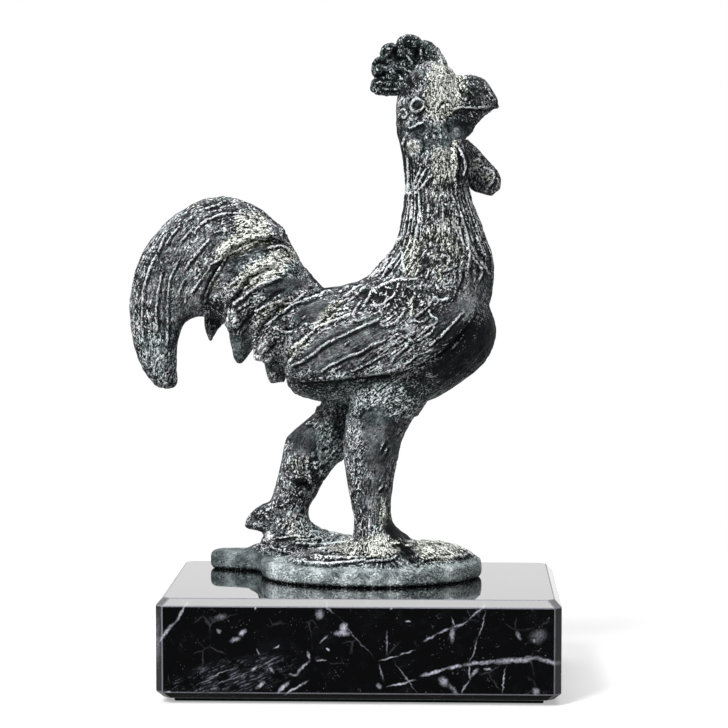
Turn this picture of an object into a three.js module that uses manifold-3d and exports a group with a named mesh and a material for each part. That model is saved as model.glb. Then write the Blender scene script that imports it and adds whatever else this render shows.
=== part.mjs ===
// Cast bronze rooster on a polished stone plinth.
//
// Millimetres, +Z up, +X the way the bird faces, so its right side looks along -Y.
// The origin is the centre of the felt's underside, where the ornament stands.
// The bronze is a set of brazed castings: body with head and neck, tail, comb, two
// wattles, two legs and the ground plate. Two studs under the feet go through the
// plinth to a washer and a nut in a counterbore, and a felt sheet covers them.
import * as THREE from 'three';
import { mergeVertices } from 'three/addons/utils/BufferGeometryUtils.js';
import Module from 'manifold-3d';

const wasm = await Module();
wasm.setup();

// Plinth and felt
const plinthLength = 80;
const plinthDepth = 50;
const plinthHeight = 20;
const plinthChamfer = 1.4;
const feltThickness = 1;
const feltInset = 2;

// Figure, in a frame of its own: y = 0 is the bird's middle plane, z = 0 the plinth's top
const figureSetback = 2.5;
const torsoHalfWidth = 13.2;
const neckHalfWidth = 11.2;
const beakHalfWidth = 3.6;
const tailHalfWidth = 7.2;
const legHalfWidth = 5.6;
const featherHalfThickness = 1.7;
const wingRelief = 1.3;
const combThickness = 4.2;
const combRounding = 0.9;
const wattleHalfThickness = 1.35;
const eyeRadius = 1.5;
const spurRadius = 1.7;

// Ground plate and the brazed joints
const plateThickness = 3.8;
const plateRounding = 1.1;
const hipJointHeight = 34.6;
const tailJointX = -16.6;
const brazeGap = 0.3;

// Fixings: M4 studs drawn as plain rods, each with a washer and a nut
const studRadius = 2;
const studEngagement = 5;
const studTail = 1;
const threadClearance = 0.3;
const tapRunout = 0.5;
const tapRoof = 3.1;
const holeClearance = 0.6;
const washerBand = 2.5;
const washerThickness = 0.8;
const nutWall = 1.5;
const nutThickness = 3.2;
const socketRoom = 2.5;
const toolRoom = 3;
const rightStudX = 2.6;
const leftStudX = -14.6;

// Sizes that follow from the ones above
const plinthTop = feltThickness + plinthHeight;
const rightLegOffset = -0.5 * torsoHalfWidth;
const leftLegOffset = 0.52 * torsoHalfWidth;
const rightFeatherOffset = -0.5 * tailHalfWidth;
const leftFeatherOffset = 0.45 * tailHalfWidth;
const rightWattleOffset = -0.41 * neckHalfWidth;
const leftWattleOffset = 0.3 * neckHalfWidth;
const eyeOffset = 0.42 * neckHalfWidth;
const spurOffset = leftLegOffset - 0.57 * legHalfWidth;
const tapRadius = studRadius + threadClearance;
const tapDepth = studEngagement + tapRunout;
const ankleJointHeight = tapDepth + tapRoof;
const washerRadius = studRadius + washerBand;
const nutRadius = (studRadius + nutWall) * 2 / Math.sqrt(3);
const counterboreRadius = washerRadius + socketRoom;
const counterboreDepth = washerThickness + nutThickness + studTail + toolRoom;
const counterboreCeiling = feltThickness + counterboreDepth;

// Where the studs stand, in the figure's frame: [x, y] under the middle of each foot
const studPlaces = [[rightStudX, rightLegOffset], [leftStudX, leftLegOffset]];

// Where the eyes and the spur stand, seen from the side: [x, z]
const eyePlace = [11.1, 97.2];
const spurPlace = [-13.4, 19.9];

const roundSides = 40;

// Stations of the lofted forms. Each row is one oval section seen from the bird's right:
// [x1, z1, x2, z2, share of the form's half width, shift of its centre along y].
const torsoRows = [
  [-16.2, 48.4, -16.2, 45.2, 0.16],
  [-14.6, 57.0, -15.3, 39.8, 0.62],
  [-11.9, 59.4, -12.4, 37.5, 0.79],
  [-6.7, 60.1, -6.7, 36.4, 0.91],
  [-1.2, 61.2, -1.2, 35.9, 0.98],
  [4.6, 64.4, 4.6, 35.5, 1.0],
  [10.7, 66.8, 10.2, 35.9, 0.97],
  [16.9, 66.6, 15.5, 37.6, 0.89],
  [22.0, 62.8, 20.4, 40.8, 0.74],
  [24.9, 58.6, 24.9, 44.5, 0.54],
  [26.5, 55.0, 26.8, 48.0, 0.32],
  [27.3, 52.4, 27.4, 50.4, 0.08],
];
const neckRows = [
  [1.5, 53.5, 22.0, 50.5, 0.8],
  [-1.6, 58.0, 25.8, 55.6, 0.95],
  [1.9, 63.4, 26.9, 62.1, 0.93],
  [5.0, 66.7, 26.6, 66.6, 0.86],
  [6.8, 69.8, 25.5, 69.6, 0.78],
  [7.8, 73.5, 24.0, 73.5, 0.71],
  [8.5, 77.4, 22.6, 77.4, 0.64],
  [8.7, 81.1, 21.5, 81.1, 0.59],
  [8.4, 85.0, 20.9, 84.6, 0.56],
  [7.8, 88.2, 20.7, 88.2, 0.54],
  [7.1, 91.5, 21.3, 91.6, 0.51],
  [6.8, 94.5, 21.7, 94.2, 0.48],
  [6.9, 97.0, 21.0, 97.0, 0.46],
  [7.3, 100.0, 19.9, 100.5, 0.44],
  [8.6, 103.0, 19.0, 103.3, 0.39],
  [10.8, 105.3, 16.8, 105.7, 0.3],
  [12.9, 106.4, 14.0, 106.4, 0.1],
];
const beakRows = [
  [16.0, 103.0, 16.6, 90.4, 1.0],
  [19.6, 103.4, 21.6, 90.9, 0.95],
  [21.5, 103.5, 23.0, 92.9, 0.84],
  [23.1, 103.3, 24.5, 94.6, 0.72],
  [24.8, 102.6, 25.9, 95.7, 0.58],
  [26.2, 100.8, 26.8, 96.4, 0.42],
  [27.3, 98.8, 27.5, 96.6, 0.24],
  [27.7, 97.6, 27.8, 96.9, 0.09],
];
const tailRows = [
  [-7.4, 59.4, -8.0, 43.5, 0.97],
  [-12.1, 64.4, -14.0, 42.4, 0.97],
  [-14.4, 68.7, -17.6, 45.2, 0.92],
  [-17.7, 73.3, -20.2, 47.8, 0.86],
  [-22.5, 77.1, -24.2, 51.0, 0.8],
  [-28.9, 78.8, -28.4, 53.4, 0.74],
  [-35.4, 77.0, -32.6, 54.1, 0.69],
  [-41.0, 72.9, -35.0, 53.7, 0.64],
  [-45.3, 67.3, -36.5, 52.8, 0.59],
  [-47.7, 60.0, -37.4, 51.2, 0.53],
  [-48.0, 53.5, -38.0, 49.0, 0.47],
  [-47.3, 48.3, -38.3, 46.0, 0.42],
  [-45.7, 43.6, -38.4, 42.8, 0.36],
  [-43.1, 40.0, -38.3, 40.4, 0.28],
  [-40.9, 39.0, -39.3, 39.3, 0.12],
];
const rightFeathers = [
  [
    [-18.0, 66.0, -14.0, 59.5, 1.0],
    [-23.8, 62.6, -19.8, 56.4, 1.0],
    [-26.8, 58.2, -22.6, 53.6, 0.95],
    [-27.8, 54.0, -24.4, 51.4, 0.8],
    [-27.4, 51.4, -25.6, 50.8, 0.3],
  ],
  [
    [-13.0, 60.5, -9.0, 52.0, 1.0],
    [-18.8, 56.4, -14.2, 50.4, 1.0],
    [-21.6, 50.8, -17.2, 48.2, 0.95],
    [-22.2, 47.4, -18.6, 46.2, 0.8],
    [-21.6, 45.6, -19.8, 45.2, 0.3],
  ],
];
const leftFeathers = [
  [
    [-33.2, 58.0, -26.8, 58.0, 1.0],
    [-33.0, 53.6, -28.4, 53.6, 0.9],
    [-32.8, 51.5, -30.1, 51.5, 0.7],
    [-32.2, 49.6, -31.1, 49.6, 0.4],
    [-31.9, 48.8, -31.5, 48.8, 0.15],
  ],
  [
    [-27.8, 54.0, -20.8, 54.0, 1.0],
    [-27.5, 50.0, -21.8, 50.0, 1.0],
    [-27.0, 47.3, -23.3, 47.5, 0.8],
    [-26.7, 45.5, -24.4, 45.5, 0.6],
    [-26.1, 44.3, -25.3, 44.3, 0.2],
  ],
  [
    [-20.6, 47.0, -13.0, 47.0, 1.0],
    [-20.2, 44.0, -14.2, 44.0, 1.0],
    [-19.9, 41.6, -15.6, 41.6, 0.95],
    [-19.3, 40.2, -16.6, 40.3, 0.5],
  ],
];
const rightLegRows = [
  [-5.4, 45.0, 15.6, 45.6, 0.93],
  [-2.6, 37.5, 14.0, 38.2, 1.0],
  [-3.4, 32.4, 9.9, 32.6, 0.95],
  [-3.8, 28.1, 8.1, 28.7, 0.86],
  [-3.5, 24.2, 7.2, 24.4, 0.77],
  [-2.9, 20.1, 6.4, 20.2, 0.68],
  [-2.2, 16.4, 6.0, 16.2, 0.61],
  [-1.6, 12.9, 6.3, 12.7, 0.6],
  [-1.8, 10.2, 8.2, 10.6, 0.7],
  [-3.2, 7.4, 11.6, 8.0, 0.95],
  [-4.6, 4.4, 12.4, 4.4, 1.1],
  [-4.6, 2.4, 12.4, 2.2, 1.0],
];
const leftLegRows = [
  [-8.8, 41.4, 2.3, 38.0, 0.89],
  [-8.8, 35.8, -1.6, 31.0, 0.86],
  [-12.6, 31.6, -2.7, 25.4, 0.79],
  [-16.1, 28.5, -5.4, 23.0, 0.73],
  [-17.0, 24.6, -7.4, 20.5, 0.68],
  [-17.8, 21.0, -8.9, 18.3, 0.64],
  [-18.5, 18.2, -10.1, 16.0, 0.61],
  [-19.5, 15.3, -11.3, 13.7, 0.61],
  [-20.3, 13.0, -11.5, 11.6, 0.64],
  [-20.9, 10.2, -10.4, 9.9, 0.73],
  [-21.4, 7.2, -7.4, 8.3, 0.9],
  [-22.6, 4.5, -5.0, 5.4, 1.05],
  [-22.6, 2.4, -6.5, 2.6, 0.9],
];
const halluxRows = [
  [-14.6, 15.0, -13.6, 9.6, 0.54],
  [-18.6, 14.9, -16.6, 8.7, 0.54],
  [-21.4, 14.2, -20.1, 8.7, 0.46],
  [-24.0, 12.2, -23.2, 8.9, 0.34],
  [-24.9, 10.5, -24.8, 9.4, 0.14],
];
const rightWattleRows = [
  [18.6, 90.0, 20.6, 90.4, 0.5],
  [17.4, 87.6, 21.3, 87.9, 0.9],
  [16.8, 85.2, 21.8, 85.2, 1.0],
  [16.9, 82.7, 21.5, 82.5, 1.0],
  [17.6, 81.0, 20.7, 80.8, 0.8],
  [18.6, 79.9, 19.8, 79.9, 0.3],
];
const leftWattleRows = [
  [19.4, 89.0, 21.6, 90.4, 0.5],
  [20.2, 85.7, 23.6, 88.4, 0.9],
  [21.2, 82.8, 25.8, 86.1, 1.0],
  [22.5, 80.2, 27.6, 84.1, 1.0],
  [24.6, 79.2, 28.4, 82.1, 0.85],
  [26.3, 78.8, 28.2, 80.3, 0.35],
];
const toeRows = [
  [3.6, 12.0, 2.2, 8.0, 0.22, 1.0],
  [7.2, 9.4, 5.0, 6.4, 0.3, -1.6],
  [10.2, 6.4, 7.8, 4.0, 0.34, -3.2],
  [12.2, 3.4, 10.0, 1.6, 0.3, -3.9],
];
const rightMoundRows = [
  [-19.0, 3.6, -19.0, 1.0, 4.0, -1.0],
  [-14.0, 5.0, -14.0, 0.0, 7.4, -1.6],
  [-6.0, 7.0, -6.0, -2.0, 9.8, -2.2],
  [2.0, 7.9, 2.0, -3.0, 10.4, -2.6],
  [9.0, 7.9, 9.0, -3.0, 10.2, -1.9],
  [16.0, 7.6, 16.0, -3.0, 8.6, -0.7],
  [21.0, 6.0, 21.0, -1.6, 6.0, 0.7],
  [24.4, 3.8, 24.4, 0.8, 2.4, 2.0],
];
const leftMoundRows = [
  [-26.0, 3.6, -26.0, 1.0, 2.6, 13.0],
  [-21.0, 6.0, -21.0, -1.0, 5.6, 10.6],
  [-12.0, 8.2, -12.0, -2.4, 7.8, 8.6],
  [-3.0, 7.7, -3.0, -2.0, 7.8, 7.6],
  [8.0, 5.4, 8.0, -1.0, 6.4, 7.0],
  [16.0, 4.2, 16.0, 0.2, 4.0, 6.4],
];

// Outlines: the wing from the side, the comb with its lobes, and the plate from above.
const wingOutline = [
  [-15.1, 43.6], [-14.2, 42.0], [-12.2, 41.5], [-7.8, 41.8], [-2.2, 42.5], [2.9, 43.3],
  [8.0, 43.8], [13.3, 46.1], [16.1, 48.3], [19.1, 51.0], [21.9, 53.9], [23.6, 56.6],
  [22.4, 60.6], [15.9, 64.8], [7.9, 64.6], [-0.1, 60.4], [-8.2, 54.0], [-12.4, 48.6],
];
const combBase = [[14.0, 101.8], [8.8, 99.7]];
const combLobes = [
  { from: [3.9, 99.3], to: [2.5, 103.0], bulge: 1.7 },
  { from: [2.5, 103.0], to: [3.8, 107.0], bulge: 1.35 },
  { from: [3.8, 107.0], to: [6.8, 109.5], bulge: 1.6 },
  { from: [6.8, 109.5], to: [11.8, 110.3], bulge: 1.65 },
];
const combCrest = [[13.4, 110.4], [15.3, 108.9], [17.3, 106.3], [17.8, 104.4]];
const plateOutline = [
  [-32.4, 10.4], [-27.6, 8.3], [-22.4, 6.2], [-20.6, -2.2], [-17.4, -7.4], [-12.0, -10.8],
  [-4.0, -13.2], [4.0, -13.7], [11.0, -12.1], [16.6, -9.3], [20.8, -5.8], [23.8, -1.4],
  [24.6, 2.6], [22.8, 7.4], [17.0, 11.0], [8.0, 13.6], [-4.0, 15.6], [-16.0, 16.6],
  [-26.0, 16.4], [-31.6, 15.2],
];

// One column of a loft, smoothed through its stations.
function throughPoints(before, start, end, after, t) {
  const slopeStart = (end - before) / 2;
  const slopeEnd = (after - start) / 2;
  const cube = 2 * start - 2 * end + slopeStart + slopeEnd;
  const square = 3 * (end - start) - 2 * slopeStart - slopeEnd;
  return ((cube * t + square) * t + slopeStart) * t + start;
}

// Rows between the stations, so that a few stations give a smooth form.
function smoothRows(rows, stepsPerSpan) {
  const made = [];
  const row = (i) => rows[Math.min(Math.max(i, 0), rows.length - 1)];
  const columns = Math.max(...rows.map((r) => r.length));
  const value = (i, column) => row(i)[column] ?? 0;
  for (let i = 0; i < rows.length - 1; i += 1) {
    for (let step = 0; step < stepsPerSpan; step += 1) {
      const t = step / stepsPerSpan;
      made.push(Array.from({ length: columns }, (_, c) =>
        throughPoints(value(i - 1, c), value(i, c), value(i + 1, c), value(i + 2, c), t)));
    }
  }
  made.push(Array.from({ length: columns }, (_, c) => value(rows.length - 1, c)));
  return made;
}

// A manifold solid from points and triangles, turned so that its faces point out.
function solidFrom(positions, triangles) {
  const build = (triVerts) => new wasm.Manifold(new wasm.Mesh({
    numProp: 3,
    vertProperties: new Float32Array(positions),
    triVerts: new Uint32Array(triVerts),
  }));
  const solid = build(triangles);
  if (solid.volume() > 0) return solid;
  const flipped = [];
  for (let i = 0; i < triangles.length; i += 3) {
    flipped.push(triangles[i], triangles[i + 2], triangles[i + 1]);
  }
  return build(flipped);
}

// A solid from a closed three.js geometry.
function solidOf(geometry) {
  const plain = geometry.index ? geometry.toNonIndexed() : geometry.clone();
  plain.deleteAttribute('normal');
  plain.deleteAttribute('uv');
  const merged = mergeVertices(plain, 1e-4);
  return solidFrom(merged.attributes.position.array, merged.index.array);
}

// A solid from rings of points, one after the other, with flat ends.
function solidOfRings(positions, sides) {
  const triangles = [];
  const lastRing = positions.length / 3 - sides;
  for (let ring = 0; ring < lastRing; ring += sides) {
    for (let s = 0; s < sides; s += 1) {
      const a = ring + s;
      const b = ring + ((s + 1) % sides);
      triangles.push(a, b, a + sides, b, b + sides, a + sides);
    }
  }
  for (let s = 1; s < sides - 1; s += 1) {
    triangles.push(0, s + 1, s, lastRing, lastRing + s, lastRing + s + 1);
  }
  return solidFrom(positions, triangles);
}

// Oval sections along stations. grow swells the form all over, for a cut with clearance.
function loft(rows, halfWidth, { yCentre = 0, sides = 24, steps = 2, grow = 0 } = {}) {
  const positions = [];
  const rings = smoothRows(rows, steps);
  rings.forEach(([x1, z1, x2, z2, share, shift = 0]) => {
    const reach = Math.hypot(x1 - x2, z1 - z2) / 2;
    const stretch = (reach + grow) / reach;
    const width = share * halfWidth + grow;
    for (let s = 0; s < sides; s += 1) {
      const angle = (2 * Math.PI * s) / sides;
      const along = Math.cos(angle) * stretch * 0.5;
      positions.push(
        (x1 + x2) / 2 + along * (x1 - x2),
        yCentre + shift + Math.sin(angle) * width,
        (z1 + z2) / 2 + along * (z1 - z2),
      );
    }
  });
  return solidOfRings(positions, sides);
}

// A closed shape through points, as a smooth curve.
function smoothShape(points, divisions) {
  const curve = new THREE.CatmullRomCurve3(
    points.map(([x, y]) => new THREE.Vector3(x, y, 0)), true, 'centripetal');
  return new THREE.Shape(curve.getPoints(divisions).slice(0, -1)
    .map((p) => new THREE.Vector2(p.x, p.y)));
}

// An outline in x and z, given thickness along y and centred on the middle plane.
function uprightSlab(shape, thickness, rounding) {
  const geometry = new THREE.ExtrudeGeometry(shape, {
    depth: thickness - 2 * rounding,
    bevelEnabled: rounding > 0,
    bevelSize: rounding,
    bevelThickness: rounding,
    bevelOffset: -rounding,
    bevelSegments: 3,
    curveSegments: 1,
  });
  geometry.rotateX(Math.PI / 2);
  geometry.translate(0, thickness / 2 - rounding, 0);
  return solidOf(geometry);
}

// An upright rod or disc.
function rod(radius, zLow, zHigh, x = 0, y = 0, sides = roundSides) {
  const geometry = new THREE.CylinderGeometry(radius, radius, zHigh - zLow, sides);
  geometry.rotateX(Math.PI / 2);
  geometry.translate(x, y, (zLow + zHigh) / 2);
  return solidOf(geometry);
}

// A ball, flattened along y.
function pebble(radius, flatness, centre) {
  const geometry = new THREE.SphereGeometry(radius, 18, 12);
  geometry.scale(1, flatness, 1);
  geometry.translate(...centre);
  return solidOf(geometry);
}

const joined = (solids) => solids.reduce((whole, solid) => whole.add(solid));
const above = (solid, height) => solid.trimByPlane([0, 0, 1], height);
const below = (solid, height) => solid.trimByPlane([0, 0, -1], -height);
const ahead = (solid, x) => solid.trimByPlane([1, 0, 0], x);
const behind = (solid, x) => solid.trimByPlane([-1, 0, 0], -x);
const largestOf = (solid) =>
  solid.decompose().sort((a, b) => b.volume() - a.volume())[0];

// Wing on one side: the torso's own form, prouder by the relief and let down a little so
// that its lower edge stands out most, inside the wing's outline.
function wing(side) {
  const proud = loft(torsoRows, torsoHalfWidth, { grow: wingRelief, sides: 32 })
    .translate([0, 0, -0.6 * wingRelief]);
  const outline = uprightSlab(smoothShape(wingOutline, 54), 4 * torsoHalfWidth, 0);
  const half = outline.translate([0, side * 2 * torsoHalfWidth, 0]);
  return proud.intersect(half);
}

// Comb: straight base inside the crown, round lobes behind, sloping crest in front.
function combShape() {
  const shape = new THREE.Shape();
  shape.moveTo(...combCrest.at(-1));
  combBase.forEach((point) => shape.lineTo(...point));
  combLobes.forEach(({ from, to, bulge }) => {
    const dx = to[0] - from[0];
    const dz = to[1] - from[1];
    const centre = [(from[0] + to[0]) / 2, (from[1] + to[1]) / 2];
    const half = Math.hypot(dx, dz) / 2;
    const outward = [-dz / (2 * half), dx / (2 * half)];
    shape.lineTo(...from);
    for (let i = 1; i < 6; i += 1) {
      const angle = (Math.PI * i) / 6;
      const along = -Math.cos(angle) * 0.5;
      const out = Math.sin(angle) * bulge;
      shape.lineTo(
        centre[0] + along * dx + outward[0] * out,
        centre[1] + along * dz + outward[1] * out,
      );
    }
    shape.lineTo(...to);
  });
  combCrest.slice(0, -1).forEach((point) => shape.lineTo(...point));
  return shape;
}

// The bird's castings, in the figure's own frame.
function castings() {
  const torso = loft(torsoRows, torsoHalfWidth, { sides: 32 });
  const neck = loft(neckRows, neckHalfWidth, { sides: 28 });
  const beak = loft(beakRows, beakHalfWidth, { sides: 18 });
  const eyes = [-1, 1].map((side) =>
    pebble(eyeRadius, 0.5, [eyePlace[0], side * eyeOffset, eyePlace[1]]));
  const legOf = (rows, offset) => loft(rows, legHalfWidth, { yCentre: offset, sides: 20 });
  const rightLeg = legOf(rightLegRows, rightLegOffset);
  const leftLeg = legOf(leftLegRows, leftLegOffset);
  const hallux = loft(halluxRows, legHalfWidth, { yCentre: leftLegOffset, sides: 16 });
  const spur = pebble(spurRadius, 1, [spurPlace[0], spurOffset, spurPlace[1]]);
  const feathers = [
    ...rightFeathers.map((rows) => [rows, rightFeatherOffset]),
    ...leftFeathers.map((rows) => [rows, leftFeatherOffset]),
  ].map(([rows, offset]) => loft(rows, featherHalfThickness, { yCentre: offset, sides: 14 }));
  const tail = joined([loft(tailRows, tailHalfWidth, { sides: 24 }), ...feathers]);

  const thighs = above(joined([rightLeg, leftLeg]), hipJointHeight + brazeGap / 2);
  const upper = joined([torso, neck, beak, ...eyes, wing(-1), wing(1), thighs, tail]);
  const clearBelly = loft(torsoRows, torsoHalfWidth, { sides: 32, grow: brazeGap });
  const shank = (solid) => largestOf(
    below(above(solid, ankleJointHeight + brazeGap / 2), hipJointHeight - brazeGap / 2)
      .subtract(clearBelly));

  const clearHead = joined([
    loft(neckRows, neckHalfWidth, { sides: 28, grow: brazeGap }),
    loft(beakRows, beakHalfWidth, { sides: 18, grow: brazeGap }),
  ]);
  const comb = uprightSlab(combShape(), combThickness, combRounding);
  const wattleOf = (rows, offset) =>
    loft(rows, wattleHalfThickness, { yCentre: offset, sides: 18 });

  return {
    body_casting: largestOf(ahead(upper, tailJointX + brazeGap / 2)),
    tail_casting: largestOf(behind(upper, tailJointX - brazeGap / 2)),
    comb: largestOf(comb.subtract(clearHead)),
    right_wattle: largestOf(wattleOf(rightWattleRows, rightWattleOffset).subtract(clearHead)),
    left_wattle: largestOf(wattleOf(leftWattleRows, leftWattleOffset).subtract(clearHead)),
    right_leg: shank(rightLeg),
    left_leg: shank(joined([leftLeg, hallux, spur])),
    ground_plate: groundPlate([rightLeg, leftLeg]),
  };
}

// Ground plate: a slab with a mound under each foot, tapped from below for the studs.
function groundPlate(legs) {
  const slab = new THREE.ExtrudeGeometry(smoothShape(plateOutline, 72), {
    depth: plateThickness - 2 * plateRounding,
    bevelSize: plateRounding,
    bevelThickness: plateRounding,
    bevelOffset: -plateRounding,
    bevelSegments: 3,
    curveSegments: 1,
  });
  slab.translate(0, 0, plateRounding);
  const mounds = [rightMoundRows, leftMoundRows].map((rows) => loft(rows, 1, { sides: 24 }));
  const toe = loft(toeRows, legHalfWidth, { yCentre: rightLegOffset, sides: 12 });
  const whole = joined([solidOf(slab), ...mounds, toe, ...legs]);
  const trimmed = below(above(whole, 0), ankleJointHeight - brazeGap / 2);
  const taps = studPlaces.map(([x, y]) => rod(tapRadius, -1, tapDepth, x, y));
  return largestOf(trimmed.subtract(joined(taps)));
}

// Plinth: a block with every edge chamfered, drilled and counterbored from below.
function plinth() {
  const corners = (length, depth, cut) => {
    const x = length / 2;
    const y = depth / 2;
    return [[x - cut, -y], [x, -y + cut], [x, y - cut], [x - cut, y],
      [-x + cut, y], [-x, y - cut], [-x, -y + cut], [-x + cut, -y]];
  };
  const layers = [
    [0, -plinthChamfer],
    [plinthChamfer, 0],
    [plinthHeight - plinthChamfer, 0],
    [plinthHeight, -plinthChamfer],
  ];
  const positions = layers.flatMap(([z, inset]) =>
    corners(plinthLength + 2 * inset, plinthDepth + 2 * inset, plinthChamfer)
      .flatMap(([x, y]) => [x, y, feltThickness + z]));
  const block = solidOfRings(positions, 8);
  const holes = studPlaces.flatMap(([x, y]) => [
    rod(studRadius + holeClearance, 0, plinthTop + 1, x, y + figureSetback),
    rod(counterboreRadius, 0, counterboreCeiling, x, y + figureSetback),
  ]);
  return block.subtract(joined(holes));
}

// Felt: a plain sheet, set in from the plinth's bottom edges.
function feltSheet() {
  const length = plinthLength - 2 * (plinthChamfer + feltInset);
  const depth = plinthDepth - 2 * (plinthChamfer + feltInset);
  const geometry = new THREE.BoxGeometry(length, depth, feltThickness);
  geometry.translate(0, 0, feltThickness / 2);
  return solidOf(geometry);
}

// One stud with its washer and nut, hanging from the plate through the plinth.
function fixing([x, y]) {
  const place = [x, y + figureSetback];
  const washerLow = counterboreCeiling - washerThickness;
  const nutLow = washerLow - nutThickness;
  const bore = (solid, low, high) =>
    solid.subtract(rod(tapRadius, low - 1, high + 1, ...place));
  return {
    stud: rod(studRadius, nutLow - studTail, plinthTop + studEngagement, ...place),
    washer: bore(rod(washerRadius, washerLow, counterboreCeiling, ...place),
      washerLow, counterboreCeiling),
    nut: bore(rod(nutRadius, nutLow, washerLow, ...place, 6), nutLow, washerLow),
  };
}

const finishes = {
  bronze: { color: 0x5b5f62, roughness: 0.6, metalness: 0.55 },
  stone: { color: 0x0d0d10, roughness: 0.12, metalness: 0 },
  felt: { color: 0x14211a, roughness: 0.95, metalness: 0 },
  steel: { color: 0xb9bcc0, roughness: 0.35, metalness: 1 },
};

// A named mesh from a solid.
function meshOf(name, solid, finish) {
  const { vertProperties, triVerts } = solid.getMesh();
  const geometry = new THREE.BufferGeometry();
  geometry.setAttribute('position', new THREE.BufferAttribute(vertProperties, 3));
  geometry.setIndex(new THREE.BufferAttribute(triVerts, 1));
  geometry.computeVertexNormals();
  const mesh = new THREE.Mesh(geometry, new THREE.MeshStandardMaterial(finishes[finish]));
  mesh.name = name;
  return mesh;
}

const ornament = new THREE.Group();
const figure = new THREE.Group();
figure.position.set(0, figureSetback, plinthTop);
for (const [name, solid] of Object.entries(castings())) {
  figure.add(meshOf(name, solid, 'bronze'));
}
ornament.add(figure);
ornament.add(meshOf('marble_plinth', plinth(), 'stone'));
ornament.add(meshOf('felt_sheet', feltSheet(), 'felt'));
['right', 'left'].forEach((side, i) => {
  for (const [kind, solid] of Object.entries(fixing(studPlaces[i]))) {
    ornament.add(meshOf(`${side}_${kind}`, solid, 'steel'));
  }
});

export default ornament;
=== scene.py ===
"""Cast rooster on a polished stone plinth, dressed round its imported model.

The bronze is one weathered surface, cut at the joints of the castings. It is made from the packed
castings, carved with the feathers and then cut up again, so that no joint shows as a seam. Sizes are
millimetres in the figure's frame: x the way the bird faces, y towards its left side, z up from the
plinth's top, with y = 0 in the bird's middle plane.
"""

from __future__ import annotations

import logging
import math
from collections.abc import Callable, Sequence
from dataclasses import dataclass, field, replace
from enum import Enum

import bmesh
import bpy
import numpy as np
from bpy.types import Material, Mesh, Node, NodeSocket, NodeTree, Object
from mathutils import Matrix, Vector
from mathutils.kdtree import KDTree

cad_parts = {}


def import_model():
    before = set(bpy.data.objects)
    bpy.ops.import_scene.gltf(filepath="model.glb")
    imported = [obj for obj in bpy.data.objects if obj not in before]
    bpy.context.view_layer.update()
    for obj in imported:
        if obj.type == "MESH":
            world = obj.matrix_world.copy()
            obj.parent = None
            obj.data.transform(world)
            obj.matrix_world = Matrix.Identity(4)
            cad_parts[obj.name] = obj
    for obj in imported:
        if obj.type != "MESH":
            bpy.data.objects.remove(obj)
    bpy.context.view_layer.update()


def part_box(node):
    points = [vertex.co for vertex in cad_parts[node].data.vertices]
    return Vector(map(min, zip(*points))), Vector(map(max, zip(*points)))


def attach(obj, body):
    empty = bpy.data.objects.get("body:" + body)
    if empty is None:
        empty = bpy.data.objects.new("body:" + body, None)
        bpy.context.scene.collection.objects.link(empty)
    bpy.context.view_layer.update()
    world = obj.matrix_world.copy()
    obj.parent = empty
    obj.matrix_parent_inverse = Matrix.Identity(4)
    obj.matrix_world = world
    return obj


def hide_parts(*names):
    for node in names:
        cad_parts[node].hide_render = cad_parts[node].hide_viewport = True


MM = 0.001
IMAGE_SIDE = 728
LIE = "lie"
SHADOW_SIDE = (0.64, -0.77)

Point2 = tuple[float, float]
Point3 = tuple[float, float, float]
Colour = tuple[float, float, float]
Path = Sequence[Point2]

log = logging.getLogger("rooster")


class Mark(Enum):
    """What the bronze's finish reads from each point of the surface."""

    GROOVE = "groove"
    BLOOM = "bloom"
    CALM = "calm"
    # Painted shade: darkens the tone beside carved lines, under feather edges, in hollows, creases and
    # pits, round the outline and under the chest.
    PAINTED_SHADE = "gloom"
    VERDE = "verde"


class Side(Enum):
    """The bird's right side, which the photograph shows, and its left."""

    RIGHT = -1
    LEFT = 1


# Small helpers for colours, curves and noise


def linear(colour: Colour) -> tuple[float, float, float, float]:
    """A colour as it looks on screen, turned into the light that a shader takes.

    Args:
        colour: Red, green and blue from 0 to 1, as seen.

    Returns:
        The linear colour with full alpha.
    """
    parts = (c / 12.92 if c <= 0.04045 else ((c + 0.055) / 1.055) ** 2.4 for c in colour)
    return (*parts, 1.0)


def ramp(values: np.ndarray, low: float, high: float) -> np.ndarray:
    """A smooth step from 0 at low to 1 at high."""
    t = np.clip((values - low) / (high - low), 0.0, 1.0)
    return t * t * (3.0 - 2.0 * t)


def bell(offset: np.ndarray, width: float) -> np.ndarray:
    """A soft peak, 1 where the offset is 0."""
    return np.exp(-((offset / width) ** 2))


def rounded_path(points: Path, steps: int = 4) -> np.ndarray:
    """Points along a smooth curve through the given ones.

    Args:
        points: The chosen points, in order.
        steps: How many pieces each span is cut into.

    Returns:
        The curve's points, one row each.
    """
    given = np.array(points, float)
    if len(given) < 3:
        return given
    ends = np.vstack([2 * given[0] - given[1], given, 2 * given[-1] - given[-2]])
    share = np.linspace(0.0, 1.0, steps, endpoint=False)[:, None]
    spans = []
    for i in range(1, len(ends) - 2):
        before, start, end, after = ends[i - 1 : i + 3]
        lean_in, lean_out = (end - before) / 2, (after - start) / 2
        cube = 2 * start - 2 * end + lean_in + lean_out
        square = 3 * (end - start) - 2 * lean_in - lean_out
        spans.append(((cube * share + square) * share + lean_in) * share + start)
    return np.vstack([*spans, given[-1:]])


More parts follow.
